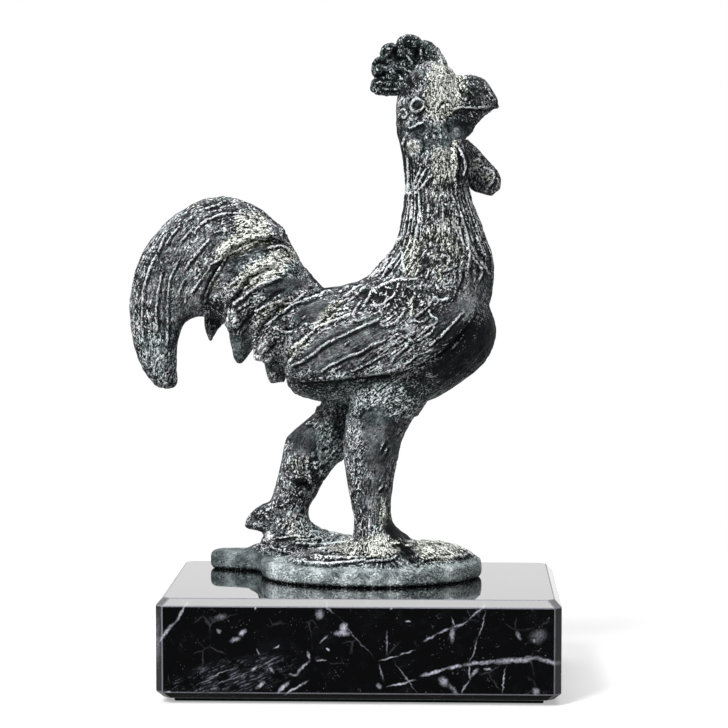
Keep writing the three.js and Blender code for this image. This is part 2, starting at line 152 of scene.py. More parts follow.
def lattice_noise(points: np.ndarray, cell: float | Point3, seed: int) -> np.ndarray:
    """Smooth noise from a lattice of hashed values.

    Args:
        points: Places to read it at, one row each.
        cell: The lattice's pitch, or one for each axis.
        seed: Picks the pattern.

    Returns:
        A value from -1 to 1 for each place.
    """
    scaled = points / np.asarray(cell, float)
    corner = np.floor(scaled).astype(np.int64)
    part = scaled - corner
    part = part * part * (3.0 - 2.0 * part)
    total = np.zeros(len(points))
    for step in range(8):
        offset = np.array([step & 1, step >> 1 & 1, step >> 2 & 1])
        place = corner + offset
        mixed = place[:, 0] * 73856093 ^ place[:, 1] * 19349663 ^ place[:, 2] * 83492791
        mixed = (mixed ^ seed * 2654435761) & 0xFFFFFFFF
        mixed = (mixed ^ (mixed >> 15)) * 2246822519 & 0xFFFFFFFF
        mixed = (mixed ^ (mixed >> 13)) * 3266489917 & 0xFFFFFFFF
        value = (mixed ^ (mixed >> 16)) / 0xFFFFFFFF * 2.0 - 1.0
        total += value * np.prod(np.where(offset, part, 1.0 - part), axis=1)
    return total


# Finishes


class Recipe:
    """A material's node tree, built a call at a time, with its patterns measured in millimetres."""

    def __init__(self, name: str) -> None:
        """Starts an empty material.

        Args:
            name: The material's name.
        """
        self.material = bpy.data.materials.new(name)
        self.material.use_nodes = True
        self.tree = self.material.node_tree
        self.tree.nodes.clear()
        self.output = self.tree.nodes.new("ShaderNodeOutputMaterial")
        place = self.tree.nodes.new("ShaderNodeTexCoord").outputs["Object"]
        self.place = self.vector("SCALE", place, scale=1 / MM)

    def give(self, socket: NodeSocket, value: object) -> None:
        """Links a socket to another, or sets its value.

        Args:
            socket: The socket.
            value: What it gets.
        """
        if isinstance(value, NodeSocket):
            self.tree.links.new(value, socket)
        else:
            socket.default_value = value

    def node(self, kind: str, inputs: dict, **settings: object) -> Node:
        """Adds a node.

        Args:
            kind: Blender's name for it.
            inputs: What goes into its sockets, by name or number.
            settings: Its other settings.

        Returns:
            The node.
        """
        made = self.tree.nodes.new(kind)
        for key, value in settings.items():
            setattr(made, key, value)
        for key, value in inputs.items():
            self.give(made.inputs[key], value)
        return made

    def math(self, operation: str, a: object, b: object = 0.0, c: object = 0.0) -> NodeSocket:
        """One step of arithmetic on numbers or sockets."""
        return self.node("ShaderNodeMath", {0: a, 1: b, 2: c}, operation=operation).outputs[0]

    def total(self, *terms: tuple[object, float]) -> NodeSocket:
        """The sum of sockets, each times its weight.

        Args:
            terms: Each socket with its weight.

        Returns:
            The sum.
        """
        whole = self.math("MULTIPLY", *terms[0])
        for socket, weight in terms[1:]:
            whole = self.math("MULTIPLY_ADD", socket, weight, whole)
        return whole

    def vector(self, operation: str, a: object, b: object = None, scale: float = 1.0) -> NodeSocket:
        """One step of arithmetic on vectors.

        Args:
            operation: Blender's name for it.
            a: The first vector.
            b: The second, if it has one.
            scale: What SCALE multiplies by.

        Returns:
            The result, a number for LENGTH.
        """
        made = self.node("ShaderNodeVectorMath", {0: a}, operation=operation)
        if b is not None:
            self.give(made.inputs[1], b)
        if operation == "SCALE":
            made.inputs[3].default_value = scale
        return made.outputs["Value" if operation == "LENGTH" else "Vector"]

    def local(self, place: object, centre: Point3, turn: Point3, size: Point3) -> NodeSocket:
        """Places seen from a frame with its own centre, turn and unit along each axis."""
        inputs = {"Vector": place, "Location": centre, "Rotation": turn, "Scale": size}
        return self.node("ShaderNodeMapping", inputs, vector_type="TEXTURE").outputs[0]

    def stretched(self, draw: Point3, turn: Point3 = (0.0, 0.0, 0.0)) -> NodeSocket:
        """The places in millimetres, drawn out along turned axes."""
        return self.local(self.place, (0.0, 0.0, 0.0), turn, draw)

    def noise(
        self, size: float, detail: float = 2.0, rough: float = 0.5, where: object = None
    ) -> NodeSocket:
        """Cloudy noise.

        Args:
            size: Its grain in millimetres.
            detail: How many finer layers it has.
            rough: How strong those are.
            where: The places that it is read at, if not the object's own.

        Returns:
            A value round 0.5.
        """
        inputs = {"Vector": where or self.place, "Scale": 1 / size, "Detail": detail, "Roughness": rough}
        return self.node("ShaderNodeTexNoise", inputs).outputs[0]

    def grains(self, size: float, feature: str = "F1", randomness: float = 1.0) -> NodeSocket:
        """Distance to the nearest grain, in grains."""
        inputs = {"Vector": self.place, "Scale": 1 / size, "Randomness": randomness}
        return self.node("ShaderNodeTexVoronoi", inputs, feature=feature).outputs["Distance"]

    def between(self, value: object, low: float, high: float) -> NodeSocket:
        """A smooth step from 0 at low to 1 at high."""
        inputs = {"Value": value, "From Min": low, "From Max": high}
        return self.node("ShaderNodeMapRange", inputs, interpolation_type="SMOOTHSTEP").outputs[0]

    def blend(self, share: object, first: object, second: object) -> NodeSocket:
        """The first colour at 0 and the second at 1.

        Args:
            share: From 0 to 1.
            first: A colour or a socket.
            second: The same.

        Returns:
            The blended colour.
        """
        made = self.node("ShaderNodeMix", {0: share}, data_type="RGBA")
        self.give(made.inputs[6], linear(first) if isinstance(first, tuple) else first)
        self.give(made.inputs[7], linear(second) if isinstance(second, tuple) else second)
        return made.outputs[2]

    def centred(self, value: NodeSocket) -> NodeSocket:
        """Noise round 0 instead of 0.5."""
        return self.math("SUBTRACT", value, 0.5)

    def ladder(self, value: object, tones: Sequence[tuple[float, Colour]]) -> NodeSocket:
        """Colours along a value, blended between their places.

        Args:
            value: The value, from 0 to 1.
            tones: Each place with its colour, in order.

        Returns:
            The colour.
        """
        made = self.node("ShaderNodeValToRGB", {"Fac": value})
        stops = made.color_ramp.elements
        while len(stops) < len(tones):
            stops.new(0.5)
        for stop, (place, colour) in zip(stops, tones):
            stop.position = place
        for stop, (place, colour) in zip(stops, tones):
            stop.color = linear(colour)
        return made.outputs["Color"]

    def mark(self, mark: Mark) -> NodeSocket:
        """One of the marks that the carving leaves on the surface."""
        return self.node("ShaderNodeAttribute", {}, attribute_name=mark.value).outputs["Fac"]

    def bump(self, height: object, depth: float, strength: float = 1.0) -> NodeSocket:
        """Surface relief from a height, depth millimetres deep."""
        inputs = {"Height": height, "Distance": depth * MM, "Strength": strength}
        return self.node("ShaderNodeBump", inputs).outputs[0]

    def finish(self, **inputs: object) -> Material:
        """Ends the tree in a shader for solid surfaces.

        Args:
            inputs: Its sockets by name, with _ for each space.

        Returns:
            The material.
        """
        named = {key.replace("_", " "): value for key, value in inputs.items()}
        shader = self.node("ShaderNodeBsdfPrincipled", named)
        self.tree.links.new(shader.outputs[0], self.output.inputs["Surface"])
        return self.material


@dataclass(frozen=True)
class AgedBronze:
    """Dark bronze under a gritty crust of pale verdigris.

    One tone from 0 to 1 runs from the black in the pores, over the bare metal and its haze, to the
    pale crust. Its grain lies along the feathers. The marks on the surface move it: crust sits on
    the carved lines, and painted shade darkens the metal beside them, in hollows and round the outline.

    Attributes:
        name: The material's name.
        greys: The tone's greys, each after its place.
        slate: The shift of the greys where they are bare.
        teal: Where they are green.
        cream: Where they are warm.
        streak: The size of the streaks. Those of the grit, specks, patches and pores follow.
        level: The middle tone.
    """

    name: str = "aged_bronze"
    greys: tuple[tuple[float, float], ...] = (
        (0, 0.015), (0.2, 0.12), (0.4, 0.29), (0.6, 0.49), (0.8, 0.73), (1, 0.95),
    )
    slate: Colour = (-0.006, -0.002, 0.012)
    teal: Colour = (-0.03, 0.004, 0.009)
    cream: Colour = (0.002, 0.012, -0.014)
    streak: float = 0.58
    grit: float = 0.4
    speck: float = 0.24
    patch: float = 3.4
    pore: float = 1.05
    level: float = 0.43
    roughness: float = 0.6
    specular: float = 0.1

    def tinted(self, r: Recipe, tone: NodeSocket, tint: Colour) -> NodeSocket:
        """The greys along the tone, each shifted by the same tint."""
        return r.ladder(tone, [(at, tuple(max(grey + t, 0.0) for t in tint)) for at, grey in self.greys])

    def material(self) -> Material:
        """Builds the material.

        Returns:
            The material.
        """
        r = Recipe(self.name)
        groove, bloom, calm, gloom, verde = (r.mark(m) for m in Mark)
        lie = r.node("ShaderNodeAttribute", {}, attribute_name=LIE).outputs["Vector"]
        aside = r.vector("ADD", lie, (7.3, 3.1, 5.7))
        grit = r.centred(r.between(r.noise(self.grit, 1.0, 0.5), 0.36, 0.64))
        speck = r.centred(r.between(r.noise(self.speck, 0.0), 0.3, 0.7))
        patch = r.centred(r.noise(self.patch, 3.0, 0.6))
        crusted = r.between(
            r.total((r.noise(1.9, 2.0, 0.6), 1.0), (bloom, 0.14), (calm, -0.16)), 0.4, 0.58
        )
        loud = r.math("MULTIPLY_ADD", crusted, 0.65, 0.5)
        loud = r.math("MULTIPLY", loud, r.math("MULTIPLY_ADD", calm, -0.5, 1.0))
        fleck = self.thread(r, r.noise(self.streak, 1.0, 0.5, lie), 0.07)
        crack = self.thread(r, r.noise(self.streak * 0.85, 1.0, 0.5, aside), 0.075)
        swing = r.total((fleck, 0.54), (crack, -0.6), (grit, 0.52), (speck, 0.34))
        tone = r.math("MULTIPLY_ADD", swing, loud, self.level)
        # The painted-shade mark darkens the tone here; it stands for shade, not for the metal's colour.
        tone = r.total((tone, 1.0), (patch, 0.95), (bloom, 0.2), (gloom, -0.27), (calm, -0.08))
        pore = r.math("SUBTRACT", 1.0, r.between(r.grains(self.pore), 0.1, 0.2))
        pore = r.math("MULTIPLY", pore, r.between(r.noise(2.3, 1.0, 0.5), 0.46, 0.56))
        elsewhere = r.vector("ADD", r.place, (3.3, 9.1, 4.7))
        spark = r.between(r.noise(self.grit, 0.0, 0.5, elsewhere), 0.7, 0.76)
        tone = r.total((tone, 1.0), (pore, -0.4), (r.math("MULTIPLY", spark, loud), 0.45))
        core = r.between(r.total((groove, 1.0), (grit, 0.4), (speck, 0.2), (patch, 0.3)), 0.58, 0.76)
        chalk = r.math("MULTIPLY_ADD", r.between(r.noise(1.2, 1.0), 0.36, 0.6), 0.2, 0.8)
        tone = r.math("MAXIMUM", tone, r.math("MULTIPLY", core, chalk))
        green = r.between(r.total((r.noise(1.7, 2.0, 0.5), 1.0), (verde, 0.3)), 0.44, 0.7)
        warm = r.between(r.total((r.noise(2.4, 1.0, 0.5), 0.8), (bloom, 0.5), (verde, -0.5)), 0.45, 0.9)
        colour = r.blend(green, self.tinted(r, tone, self.slate), self.tinted(r, tone, self.teal))
        colour = r.blend(warm, colour, self.tinted(r, tone, self.cream))
        relief = r.total((swing, 0.6), (core, 0.4), (pore, -0.5))
        return r.finish(
            Base_Color=colour,
            Roughness=self.roughness,
            Specular_IOR_Level=self.specular,
            Normal=r.bump(relief, 0.14, 1.0),
        )

    def thread(self, r: Recipe, noise: NodeSocket, width: float) -> NodeSocket:
        """Thin winding lines, where noise crosses its middle."""
        off = r.math("ABSOLUTE", r.centred(noise))
        return r.math("SUBTRACT", 1.0, r.between(off, 0.01, width))


@dataclass(frozen=True)
class BlackMarble:
    """Black marble with white and lavender veins that run through the block.

    Attributes:
        name: The material's name.
        front: The y of the plinth's front face.
        ior: How strongly the bare stone mirrors.
        coat: How much polish lies over it.
        veins: Lens-shaped sheets through the block, as x, z, x, z, half width and whiteness.
        spots: The same, but only near the front face.
    """

    name: str
    front: float
    ior: float
    coat: float = 0.0
    body: Colour = (0.012, 0.013, 0.018)
    cloud: Colour = (0.085, 0.09, 0.11)
    pale: Colour = (0.8, 0.8, 0.86)
    roughness: float = 0.12
    veins: tuple[tuple[float, ...], ...] = (
        (3.9, 9, 8.2, 10.1, 0.16, 0.6), (7.8, 10, 11.6, 11.4, 0.15, 0.55),
        (12.6, 12.8, 15.6, 14.5, 0.2, 0.6), (15, 14.3, 18.6, 15.6, 0.2, 0.55),
        (18.2, 15.4, 22, 17.3, 0.2, 0.5), (21.4, 17, 25.6, 20.6, 0.18, 0.5),
        (5.2, 3.8, 11.7, 5.3, 0.2, 0.75), (11.7, 5.9, 18.6, 7.9, 0.3, 0.85),
        (17.8, 7.3, 20.6, 8.4, 0.34, 0.8), (19.6, 8.2, 28.6, 9.3, 0.36, 0.62),
        (25, 8.8, 37, 9.9, 0.5, 0.56), (34, 9.8, 41, 8.4, 0.42, 0.5),
        (25.4, 19.4, 23.2, 13, 0.14, 0.42), (23.6, 14, 21.9, 8.2, 0.15, 0.5),
        (22, 9, 22, 5, 0.18, 0.55), (22.1, 5.6, 20.2, 2, 0.16, 0.55),
        (21.9, 5.9, 23.9, 7.7, 0.26, 0.45), (29.1, 8.6, 28.2, 2, 0.13, 0.6),
        (-33.2, 20.6, -36.4, 15.8, 0.26, 0.6), (-35.6, 17, -40, 11.6, 0.34, 0.6),
        (-6.4, 20.6, -4.5, 18.2, 0.2, 0.3), (-4.8, 18.6, 3.6, 9, 0.12, 0.2),
        (5.6, 15.4, 5.7, 9.6, 0.16, 0.3), (6.8, 9.2, 12.1, 1.8, 0.15, 0.27), (4, 8.6, 5.3, 5, 0.2, 0.4),
    )
    spots: tuple[tuple[float, ...], ...] = (
        (-5.8, 14.2, -7.5, 12.2, 0.2, 0.55), (-9.9, 11, -9.5, 9.1, 0.22, 0.5),
        (-9.3, 9.3, -12.3, 6.1, 0.3, 0.55), (-11.4, 6.3, -13.8, 6.3, 0.2, 0.4),
        (-16.2, 2.3, -13.3, 4.9, 0.36, 0.75), (-15.2, 1.6, -9.7, 5.2, 0.26, 0.75),
        (-8.3, 9, -6, 9, 0.17, 0.5), (18.1, 17.9, 19.3, 15.9, 0.18, 0.4),
        (18.9, 16.2, 18.2, 12.5, 0.42, 0.5), (-4.6, 14.3, -1.5, 14.5, 0.55, 0.62),
        (-3, 14.6, -2.6, 16, 0.7, 0.8), (-8, 17.5, -7.2, 19, 0.8, 0.4),
        (-23.2, 14, -22.2, 15.1, 0.42, 0.7), (-25.1, 12.6, -23.3, 13.5, 0.42, 0.5),
        (-28.1, 17.4, -25.7, 17.8, 0.55, 0.24), (-27.6, 14.9, -27.2, 14.4, 0.3, 0.45),
        (-20, 11.3, -19.1, 10, 0.2, 0.36), (-16.6, 11.2, -15.2, 12, 0.2, 0.7),
        (-6.2, 11.5, -5.6, 11, 0.22, 0.9), (-20.4, 19.2, -20, 19.2, 0.24, 0.85),
        (31.3, 15.2, 31.9, 13.2, 0.38, 0.42), (34, 13.6, 36.6, 14.6, 1.2, 0.16),
        (34.2, 13.1, 34.8, 13.5, 0.36, 0.42), (34.7, 3.8, 35.1, 2.3, 0.65, 0.42),
        (9.3, 16.9, 10.3, 16.8, 0.26, 0.85), (6.4, 19.2, 6.6, 19.6, 0.2, 0.65),
        (16.2, 5.7, 17.3, 4.1, 0.72, 0.5), (17.6, 4.7, 20.1, 2, 0.42, 0.28),
        (24.9, 7.6, 26.1, 7.5, 0.22, 0.6), (3.9, 4.5, 4.4, 3.5, 0.5, 0.42),
        (-21, 6.9, -19.9, 7.7, 0.26, 0.75), (-20, 3.3, -18.2, 4.6, 0.34, 0.7),
        (-17.8, 7.8, -16.5, 6.5, 0.28, 0.55), (-19, 8.1, -16.1, 9.5, 0.17, 0.36),
        (-38.3, 2.6, -36.9, 2.4, 0.2, 0.65), (-33, 3.2, -22.8, 8.4, 0.12, 0.36),
        (-30, 3.2, -20, 7.4, 0.12, 0.32), (-40.3, 19.6, -40.3, 6, 1.1, 0.32),
    )

    def lens(self, r: Recipe, place: NodeSocket, shape: Sequence[float], depth: float) -> object:
        """How white one vein or spot makes each place.

        Args:
            r: The recipe that it goes into.
            place: The places in millimetres.
            shape: Its ends, half width and whiteness.
            depth: How far it reaches behind the front face.

        Returns:
            A value from 0 to its whiteness.
        """
        x1, z1, x2, z2, width, white = shape
        centre = ((x1 + x2) / 2, self.front, (z1 + z2) / 2)
        turn = (0.0, -math.atan2(z2 - z1, x2 - x1), 0.0)
        size = (math.hypot(x2 - x1, z2 - z1) / 2 + 0.8 * width, depth, 1.5 * width)
        off = r.vector("LENGTH", r.local(place, centre, turn, size))
        return r.math("MULTIPLY", r.math("SUBTRACT", 1.0, r.between(off, 0.0, 1.0)), 1.2 * white)

    def material(self) -> Material:
        """Builds the material.

        Returns:
            The material.
        """
        r = Recipe(self.name)
        place = r.place
        for size, detail, reach in ((3.0, 2.0, 1.1), (0.7, 1.0, 0.5)):
            wander = r.node("ShaderNodeTexNoise", {"Vector": r.place, "Scale": 1 / size, "Detail": detail})
            shift = r.vector("SUBTRACT", wander.outputs["Color"], (0.5, 0.5, 0.5))
            place = r.vector("ADD", place, r.vector("SCALE", shift, scale=reach))
        low_left = self.low_left(r)
        slant = (0.0, math.radians(-24), 0.0)
        lines = r.between(r.noise(0.34, 3.0, 0.65, r.stretched((7.0, 1.5, 1.0), slant)), 0.48, 0.7)
        white = r.math("MULTIPLY", r.math("MULTIPLY", lines, low_left), 0.3)
        for shape in self.veins:
            white = r.math("MAXIMUM", white, self.lens(r, place, shape, 400.0))
        for shape in self.spots:
            white = r.math("MAXIMUM", white, self.lens(r, place, shape, 4.0))
        ragged = r.math("MULTIPLY_ADD", r.between(r.noise(0.5, 3.0, 0.75), 0.36, 0.6), 0.95, 0.35)
        return self.body_of_stone(r, r.math("MULTIPLY", white, ragged), place, low_left)

    def low_left(self, r: Recipe) -> NodeSocket:
        """A soft bluish patch low on the left, where the stone is finely scratched.

        Args:
            r: The recipe that it goes into.

        Returns:
            A value from 0 to 1.
        """
        turn = (0.0, math.radians(-12), 0.0)
        patch = r.local(r.place, (-24.5, self.front, 5.6), turn, (15.5, 9.0, 4.4))
        near = r.math("SUBTRACT", 1.0, r.between(r.vector("LENGTH", patch), 0.5, 1.0))
        return r.math("MULTIPLY", near, r.between(r.noise(2.2, 3.0, 0.6), 0.4, 0.6))

    def body_of_stone(
        self, r: Recipe, veins: NodeSocket, place: NodeSocket, low_left: NodeSocket
    ) -> Material:
        """Adds the clouds, threads and flecks round the veins, and ends the tree.

        Args:
            r: The recipe that it goes into.
            veins: How white the veins and spots make each place.
            place: The places, shaken as the veins are.
            low_left: The scratched patch.

        Returns:
            The material.
        """
        cloud = r.between(r.noise(5.0, 5.0, 0.7), 0.5, 0.75)
        thread_edge = r.node(
            "ShaderNodeTexVoronoi", {"Vector": place, "Scale": 1 / 7.5}, feature="DISTANCE_TO_EDGE"
        ).outputs["Distance"]
        thread = r.math("SUBTRACT", 1.0, r.between(thread_edge, 0.0, 0.03))
        thread = r.math("MULTIPLY", thread, r.between(r.noise(6.0, 2.0, 0.5), 0.5, 0.66))
        fleck = r.between(r.noise(0.4, 1.0), 0.66, 0.76)
        fleck = r.math("MULTIPLY", fleck, r.between(r.noise(2.4, 3.0, 0.6), 0.5, 0.64))
        white = r.math("MAXIMUM", veins, r.math("MULTIPLY", fleck, 0.2))
        white = r.math("MAXIMUM", white, r.math("MULTIPLY", thread, 0.06))
        colour = r.blend(r.math("MAXIMUM", r.math("MULTIPLY", cloud, 0.7), low_left), self.body, self.cloud)
        colour = r.blend(white, colour, self.pale)
        return r.finish(
            Base_Color=colour,
            Roughness=self.roughness,
            IOR=self.ior,
            Coat_Weight=self.coat,
            Coat_Roughness=0.03,
            Coat_IOR=2.0,
        )


@dataclass(frozen=True)
class FeltCloth:
    """Dark green felt."""

    name: str = "green_felt"
    colour: Colour = (0.10, 0.20, 0.15)
    fluff: Colour = (0.19, 0.31, 0.24)

    def material(self) -> Material:
        """Builds the material.

        Returns:
            The material.
        """
        r = Recipe(self.name)
        matted = r.noise(0.5, 4.0, 0.8, r.stretched((1.0, 3.0, 1.0), (0.0, 0.0, math.radians(30))))
        crossed = r.noise(0.5, 4.0, 0.8, r.stretched((3.0, 1.0, 1.0), (0.0, 0.0, math.radians(12))))
        fibres = r.math("MAXIMUM", matted, crossed)
        colour = r.blend(r.between(fibres, 0.42, 0.72), self.colour, self.fluff)
        return r.finish(
            Base_Color=colour,
            Roughness=0.95,
            Specular_IOR_Level=0.15,
            Sheen_Weight=0.3,
            Normal=r.bump(fibres, 0.2, 0.8),
        )


@dataclass(frozen=True)
class ZincSteel:
    """Bright zinc plate on steel, turned or pressed."""

    name: str = "zinc_steel"
    colour: Colour = (0.78, 0.79, 0.80)
    stain: Colour = (0.62, 0.62, 0.60)

    def material(self) -> Material:
        """Builds the material.

        Returns:
            The material.
        """
        r = Recipe(self.name)
        spangle = r.noise(1.2, 4.0, 0.6)
        rings = r.noise(0.12, 2.0, 0.5, r.stretched((8.0, 8.0, 1.0)))
        return r.finish(
            Base_Color=r.blend(r.between(spangle, 0.4, 0.65), self.colour, self.stain),
            Metallic=1.0,
            Roughness=0.34,
            Normal=r.bump(rings, 0.02, 0.6),
        )


# The cast surface


@dataclass
class Chart:
    """A part of the surface laid out flat, for carving.

    Attributes:
        index: The points that it holds.
        across: Each point's first coordinate in millimetres.
        up: Each point's second one.
        weight: How much of a stroke each point takes, from 0 to 1.
    """

    index: np.ndarray
    across: np.ndarray
    up: np.ndarray
    weight: np.ndarray

    def near(self, path: np.ndarray, reach: float) -> np.ndarray:
        """The rows of this chart within reach of a path's box.

        Args:
            path: The path's points.
            reach: How far out they may lie.

        Returns:
            The rows' numbers.
        """
        low, high = path.min(axis=0) - reach, path.max(axis=0) + reach
        inside = (self.across > low[0]) & (self.across < high[0])
        inside &= (self.up > low[1]) & (self.up < high[1])
        return np.flatnonzero(inside)


@dataclass(frozen=True)
class Stroke:
    """One raised line, or one cut where its height is below 0, with its points in a chart."""

    path: Path
    width: float = 0.24
    height: float = 0.24
    pale: float = 1.0


@dataclass(frozen=True)
class Zone:
    """A soft oval patch, seen from the side, where the surface's marks are stronger."""

    mark: Mark
    centre: Point2
    reach: Point2
    amount: float
    turn: float = 0.0
    side: Side | None = None


def route(*row: float) -> Path:
    """A path from its points' coordinates in a row."""
    return tuple(zip(row[::2], row[1::2]))


def drawn(*rows: Sequence[float], **sizes: float) -> tuple[Stroke, ...]:
    """Strokes of the same sizes, each from a row of its points' coordinates."""
    return tuple(Stroke(route(*row), **sizes) for row in rows)


def ovals(mark: Mark, *rows: Sequence[float], side: Side | None = None) -> tuple[Zone, ...]:
    """Zones of one mark, each from a row of its centre, reach, amount and turn."""
    return tuple(Zone(mark, row[:2], row[2:4], *row[4:], side=side) for row in rows)


class CastSurface:
    """A dense cast surface, held as arrays while it is carved.

    Attributes:
        points: Places in millimetres in the figure's frame.
        edges: Pairs of points.
        links: How many edges meet at each point.
        normals: The way that each point faces.
        marks: What the finish reads, by mark.
        lift: How far each point still has to move along its normal.
    """

    def __init__(self, mesh: Mesh) -> None:
        """Reads a mesh.

        Args:
            mesh: The remeshed casting, in millimetres in the figure's frame.
        """
        self.mesh = mesh
        self.points = read_array(mesh.vertices, "co", 3)
        self.edges = read_array(mesh.edges, "vertices", 2, np.int64)
        self.links = np.bincount(self.edges.ravel(), minlength=len(self.points))
        self.marks = {mark: np.zeros(len(self.points)) for mark in Mark}
        self.lift = np.zeros(len(self.points))
        self.normals = np.zeros_like(self.points)
        self.measure()

    def measure(self) -> None:
        """Writes the points back to the mesh and reads the normals again."""
        self.mesh.vertices.foreach_set("co", self.points.ravel())
        self.mesh.update()
        self.normals = read_array(self.mesh.vertex_normals, "vector", 3)

    def averaged(self, values: np.ndarray) -> np.ndarray:
        """Each point's mean over its neighbours.

        Args:
            values: One value for each point.

        Returns:
            The means.
        """
        a, b = self.edges.T
        total = np.bincount(a, values[b], len(values)) + np.bincount(b, values[a], len(values))
        return total / self.links

    def relax(self, rounds: int, ease: float = 0.5, swell: float = 0.52) -> None:
        """Smooths the surface without shrinking it.

        Args:
            rounds: How many times.
            ease: The share of each step towards the neighbours' mean.
            swell: The share of the step back.
        """
        for _ in range(rounds):
            for share in (ease, -swell):
                mean = np.stack([self.averaged(self.points[:, axis]) for axis in range(3)], axis=1)
                self.points += share * (mean - self.points)
        self.measure()

    def apply_lift(self) -> None:
        """Moves every point along its normal by the lift that the carving has asked for."""
        self.points += self.normals * self.lift[:, None]
        self.lift[:] = 0.0
        self.measure()

    def at_least(self, mark: Mark, index: np.ndarray | slice, values: np.ndarray) -> None:
        """Raises one mark to the values given, where it is below them."""
        self.marks[mark][index] = np.maximum(self.marks[mark][index], values)

    def side_chart(self, side: Side, keep: Callable[[np.ndarray], np.ndarray] | None = None) -> Chart:
        """The surface as seen square from one side, a little unsteady, as if drawn by hand.

        Args:
            side: Which side.
            keep: Picks points out of all of them, if not all are wanted.

        Returns:
            The chart, with x across and z up.
        """
        facing = ramp(side.value * self.normals[:, 1], 0.05, 0.35)
        wanted = facing > 0
        if keep is not None:
            wanted &= keep(self.points)
        index = np.flatnonzero(wanted)
        places = self.points[index]
        shake = 0.13 * np.stack([lattice_noise(places, 1.1, seed) for seed in (61, 62)], axis=1)
        shake += 0.07 * np.stack([lattice_noise(places, 0.5, seed) for seed in (63, 64)], axis=1)
        return Chart(index, places[:, 0] + shake[:, 0], places[:, 2] + shake[:, 1], facing[index])

    def draw(self, chart: Chart, stroke: Stroke) -> None:
        """Raises or cuts one line, with pale crust along it and painted shadow beside it, most on the
        shadow side; a cut gets painted shade along it.

        Args:
            chart: Where.
            stroke: The line.
        """
        path = rounded_path(stroke.path)
        width = 0.8 * stroke.width
        rows = chart.near(path, 4 * width + 0.6)
        if not len(rows):
            return
        near = nearest(chart.across[rows], chart.up[rows], path)
        fade = min(0.7, 0.3 * near.length)
        ends = ramp(near.along, -0.1, fade) * ramp(near.length - near.along, -0.1, fade)
        weight = chart.weight[rows] * ends
        weight = np.where(near.length < 0.6, chart.weight[rows], weight)
        line = bell(near.distance, width)
        chalk = bell(near.distance, 0.15 + 0.55 * stroke.width)
        towards = near.off_x * SHADOW_SIDE[0] + near.off_z * SHADOW_SIDE[1]
        below = np.clip(towards / np.maximum(near.distance, 1e-6), 0.0, 1.0)
        # A slight dip beside the line, with painted shadow in it, stronger towards SHADOW_SIDE where the
        # raised line would cast it.
        dip_and_painted_shadow = bell(near.distance - 2.6 * width, 1.3 * width) * (0.5 + 0.5 * below)
        index = chart.index[rows]
        self.lift[index] += weight * (stroke.height * line - 0.16 * dip_and_painted_shadow)
        worn = ramp(lattice_noise(self.points[index], 0.8, 65), -0.75, -0.2)
        self.at_least(Mark.GROOVE, index, stroke.pale * weight * chalk * (0.86 + 0.14 * worn))
        # Painted shadow beside a raised line; painted shade along a cut.
        self.at_least(Mark.PAINTED_SHADE, index, weight * (1.7 * dip_and_painted_shadow if stroke.pale > 0 else 1.6 * line))

    def step(self, chart: Chart, path: Path, height: float, decay: float, pale: float = 0.72) -> None:
        """Raises the surface on the left of a path, as where one feather lies over the next, with painted
        shade just under its edge.

        Args:
            chart: Where.
            path: The feather's free edge.
            height: How far its edge stands up.
            decay: How fast that falls off behind the edge.
            pale: How much crust lies along the edge.
        """
        curve = rounded_path(path)
        rows = chart.near(curve, max(3 * decay, 1.5))
        if not len(rows):
            return
        near = nearest(chart.across[rows], chart.up[rows], curve)
        signed = np.where(near.left, near.distance, -near.distance)
        weight = chart.weight[rows] * ramp(near.along, 0.0, 1.6) * ramp(near.length - near.along, 0.0, 1.6)
        rise = ramp(signed, -0.28, 0.28) * np.exp(-np.maximum(signed, 0.0) / decay)
        under = -0.45 * bell(signed + 0.55, 0.4)
        index = chart.index[rows]
        self.lift[index] += height * weight * (rise + under)
        worn = ramp(lattice_noise(self.points[index], 0.9, 66), -0.6, 0.0)
        self.at_least(Mark.GROOVE, index, pale * weight * bell(signed - 0.15, 0.22) * worn)
        # Painted shade just under the feather's edge.
        self.at_least(Mark.PAINTED_SHADE, index, 1.9 * weight * bell(signed + 0.5, 0.35))

    def scales(self, chart: Chart, zone: Zone, pitch: float) -> None:
        """Covers a soft oval with small curled feathers, pale rims round hollows filled with painted shade.

        Args:
            chart: Where.
            zone: The oval, and how strong the feathers are.
            pitch: Their size.
        """
        offset = np.stack([chart.across, chart.up], axis=1) - np.array(zone.centre)
        away = np.hypot(*(offset / np.array(zone.reach)).T)
        rows = np.flatnonzero(away < 1.1)
        place = np.column_stack([offset[rows] / pitch, np.zeros(len(rows))])
        cell = np.floor(place)
        near = np.full((2, len(rows)), 9.0)
        for i in range(9):
            corner = cell + np.array([i % 3 - 1, i // 3 - 1, 0])
            stray = np.stack([lattice_noise(corner, 1.0, seed) for seed in (81, 82)], axis=1)
            seat = corner[:, :2] + 0.5 + 0.4 * stray
            reach = np.hypot(*(place[:, :2] - seat).T)
            near[1] = np.minimum(near[1], np.maximum(near[0], reach))
            near[0] = np.minimum(near[0], reach)
        index = chart.index[rows]
        weight = chart.weight[rows] * zone.amount * (1.0 - ramp(away[rows], 0.7, 1.1))
        rim = bell((near[1] - near[0]) * pitch, 0.46)
        rim *= ramp(lattice_noise(self.points[index], 1.2, 83), -0.35, 0.0)
        self.lift[index] += weight * (0.3 * rim - 0.12)
        self.at_least(Mark.GROOVE, index, 0.74 * weight * rim)
        # Painted shade in the hollows between the rims.
        self.marks[Mark.PAINTED_SHADE][index] += 1.9 * weight * (1.0 - rim) * ramp(0.62 - near[0], 0.0, 0.25)

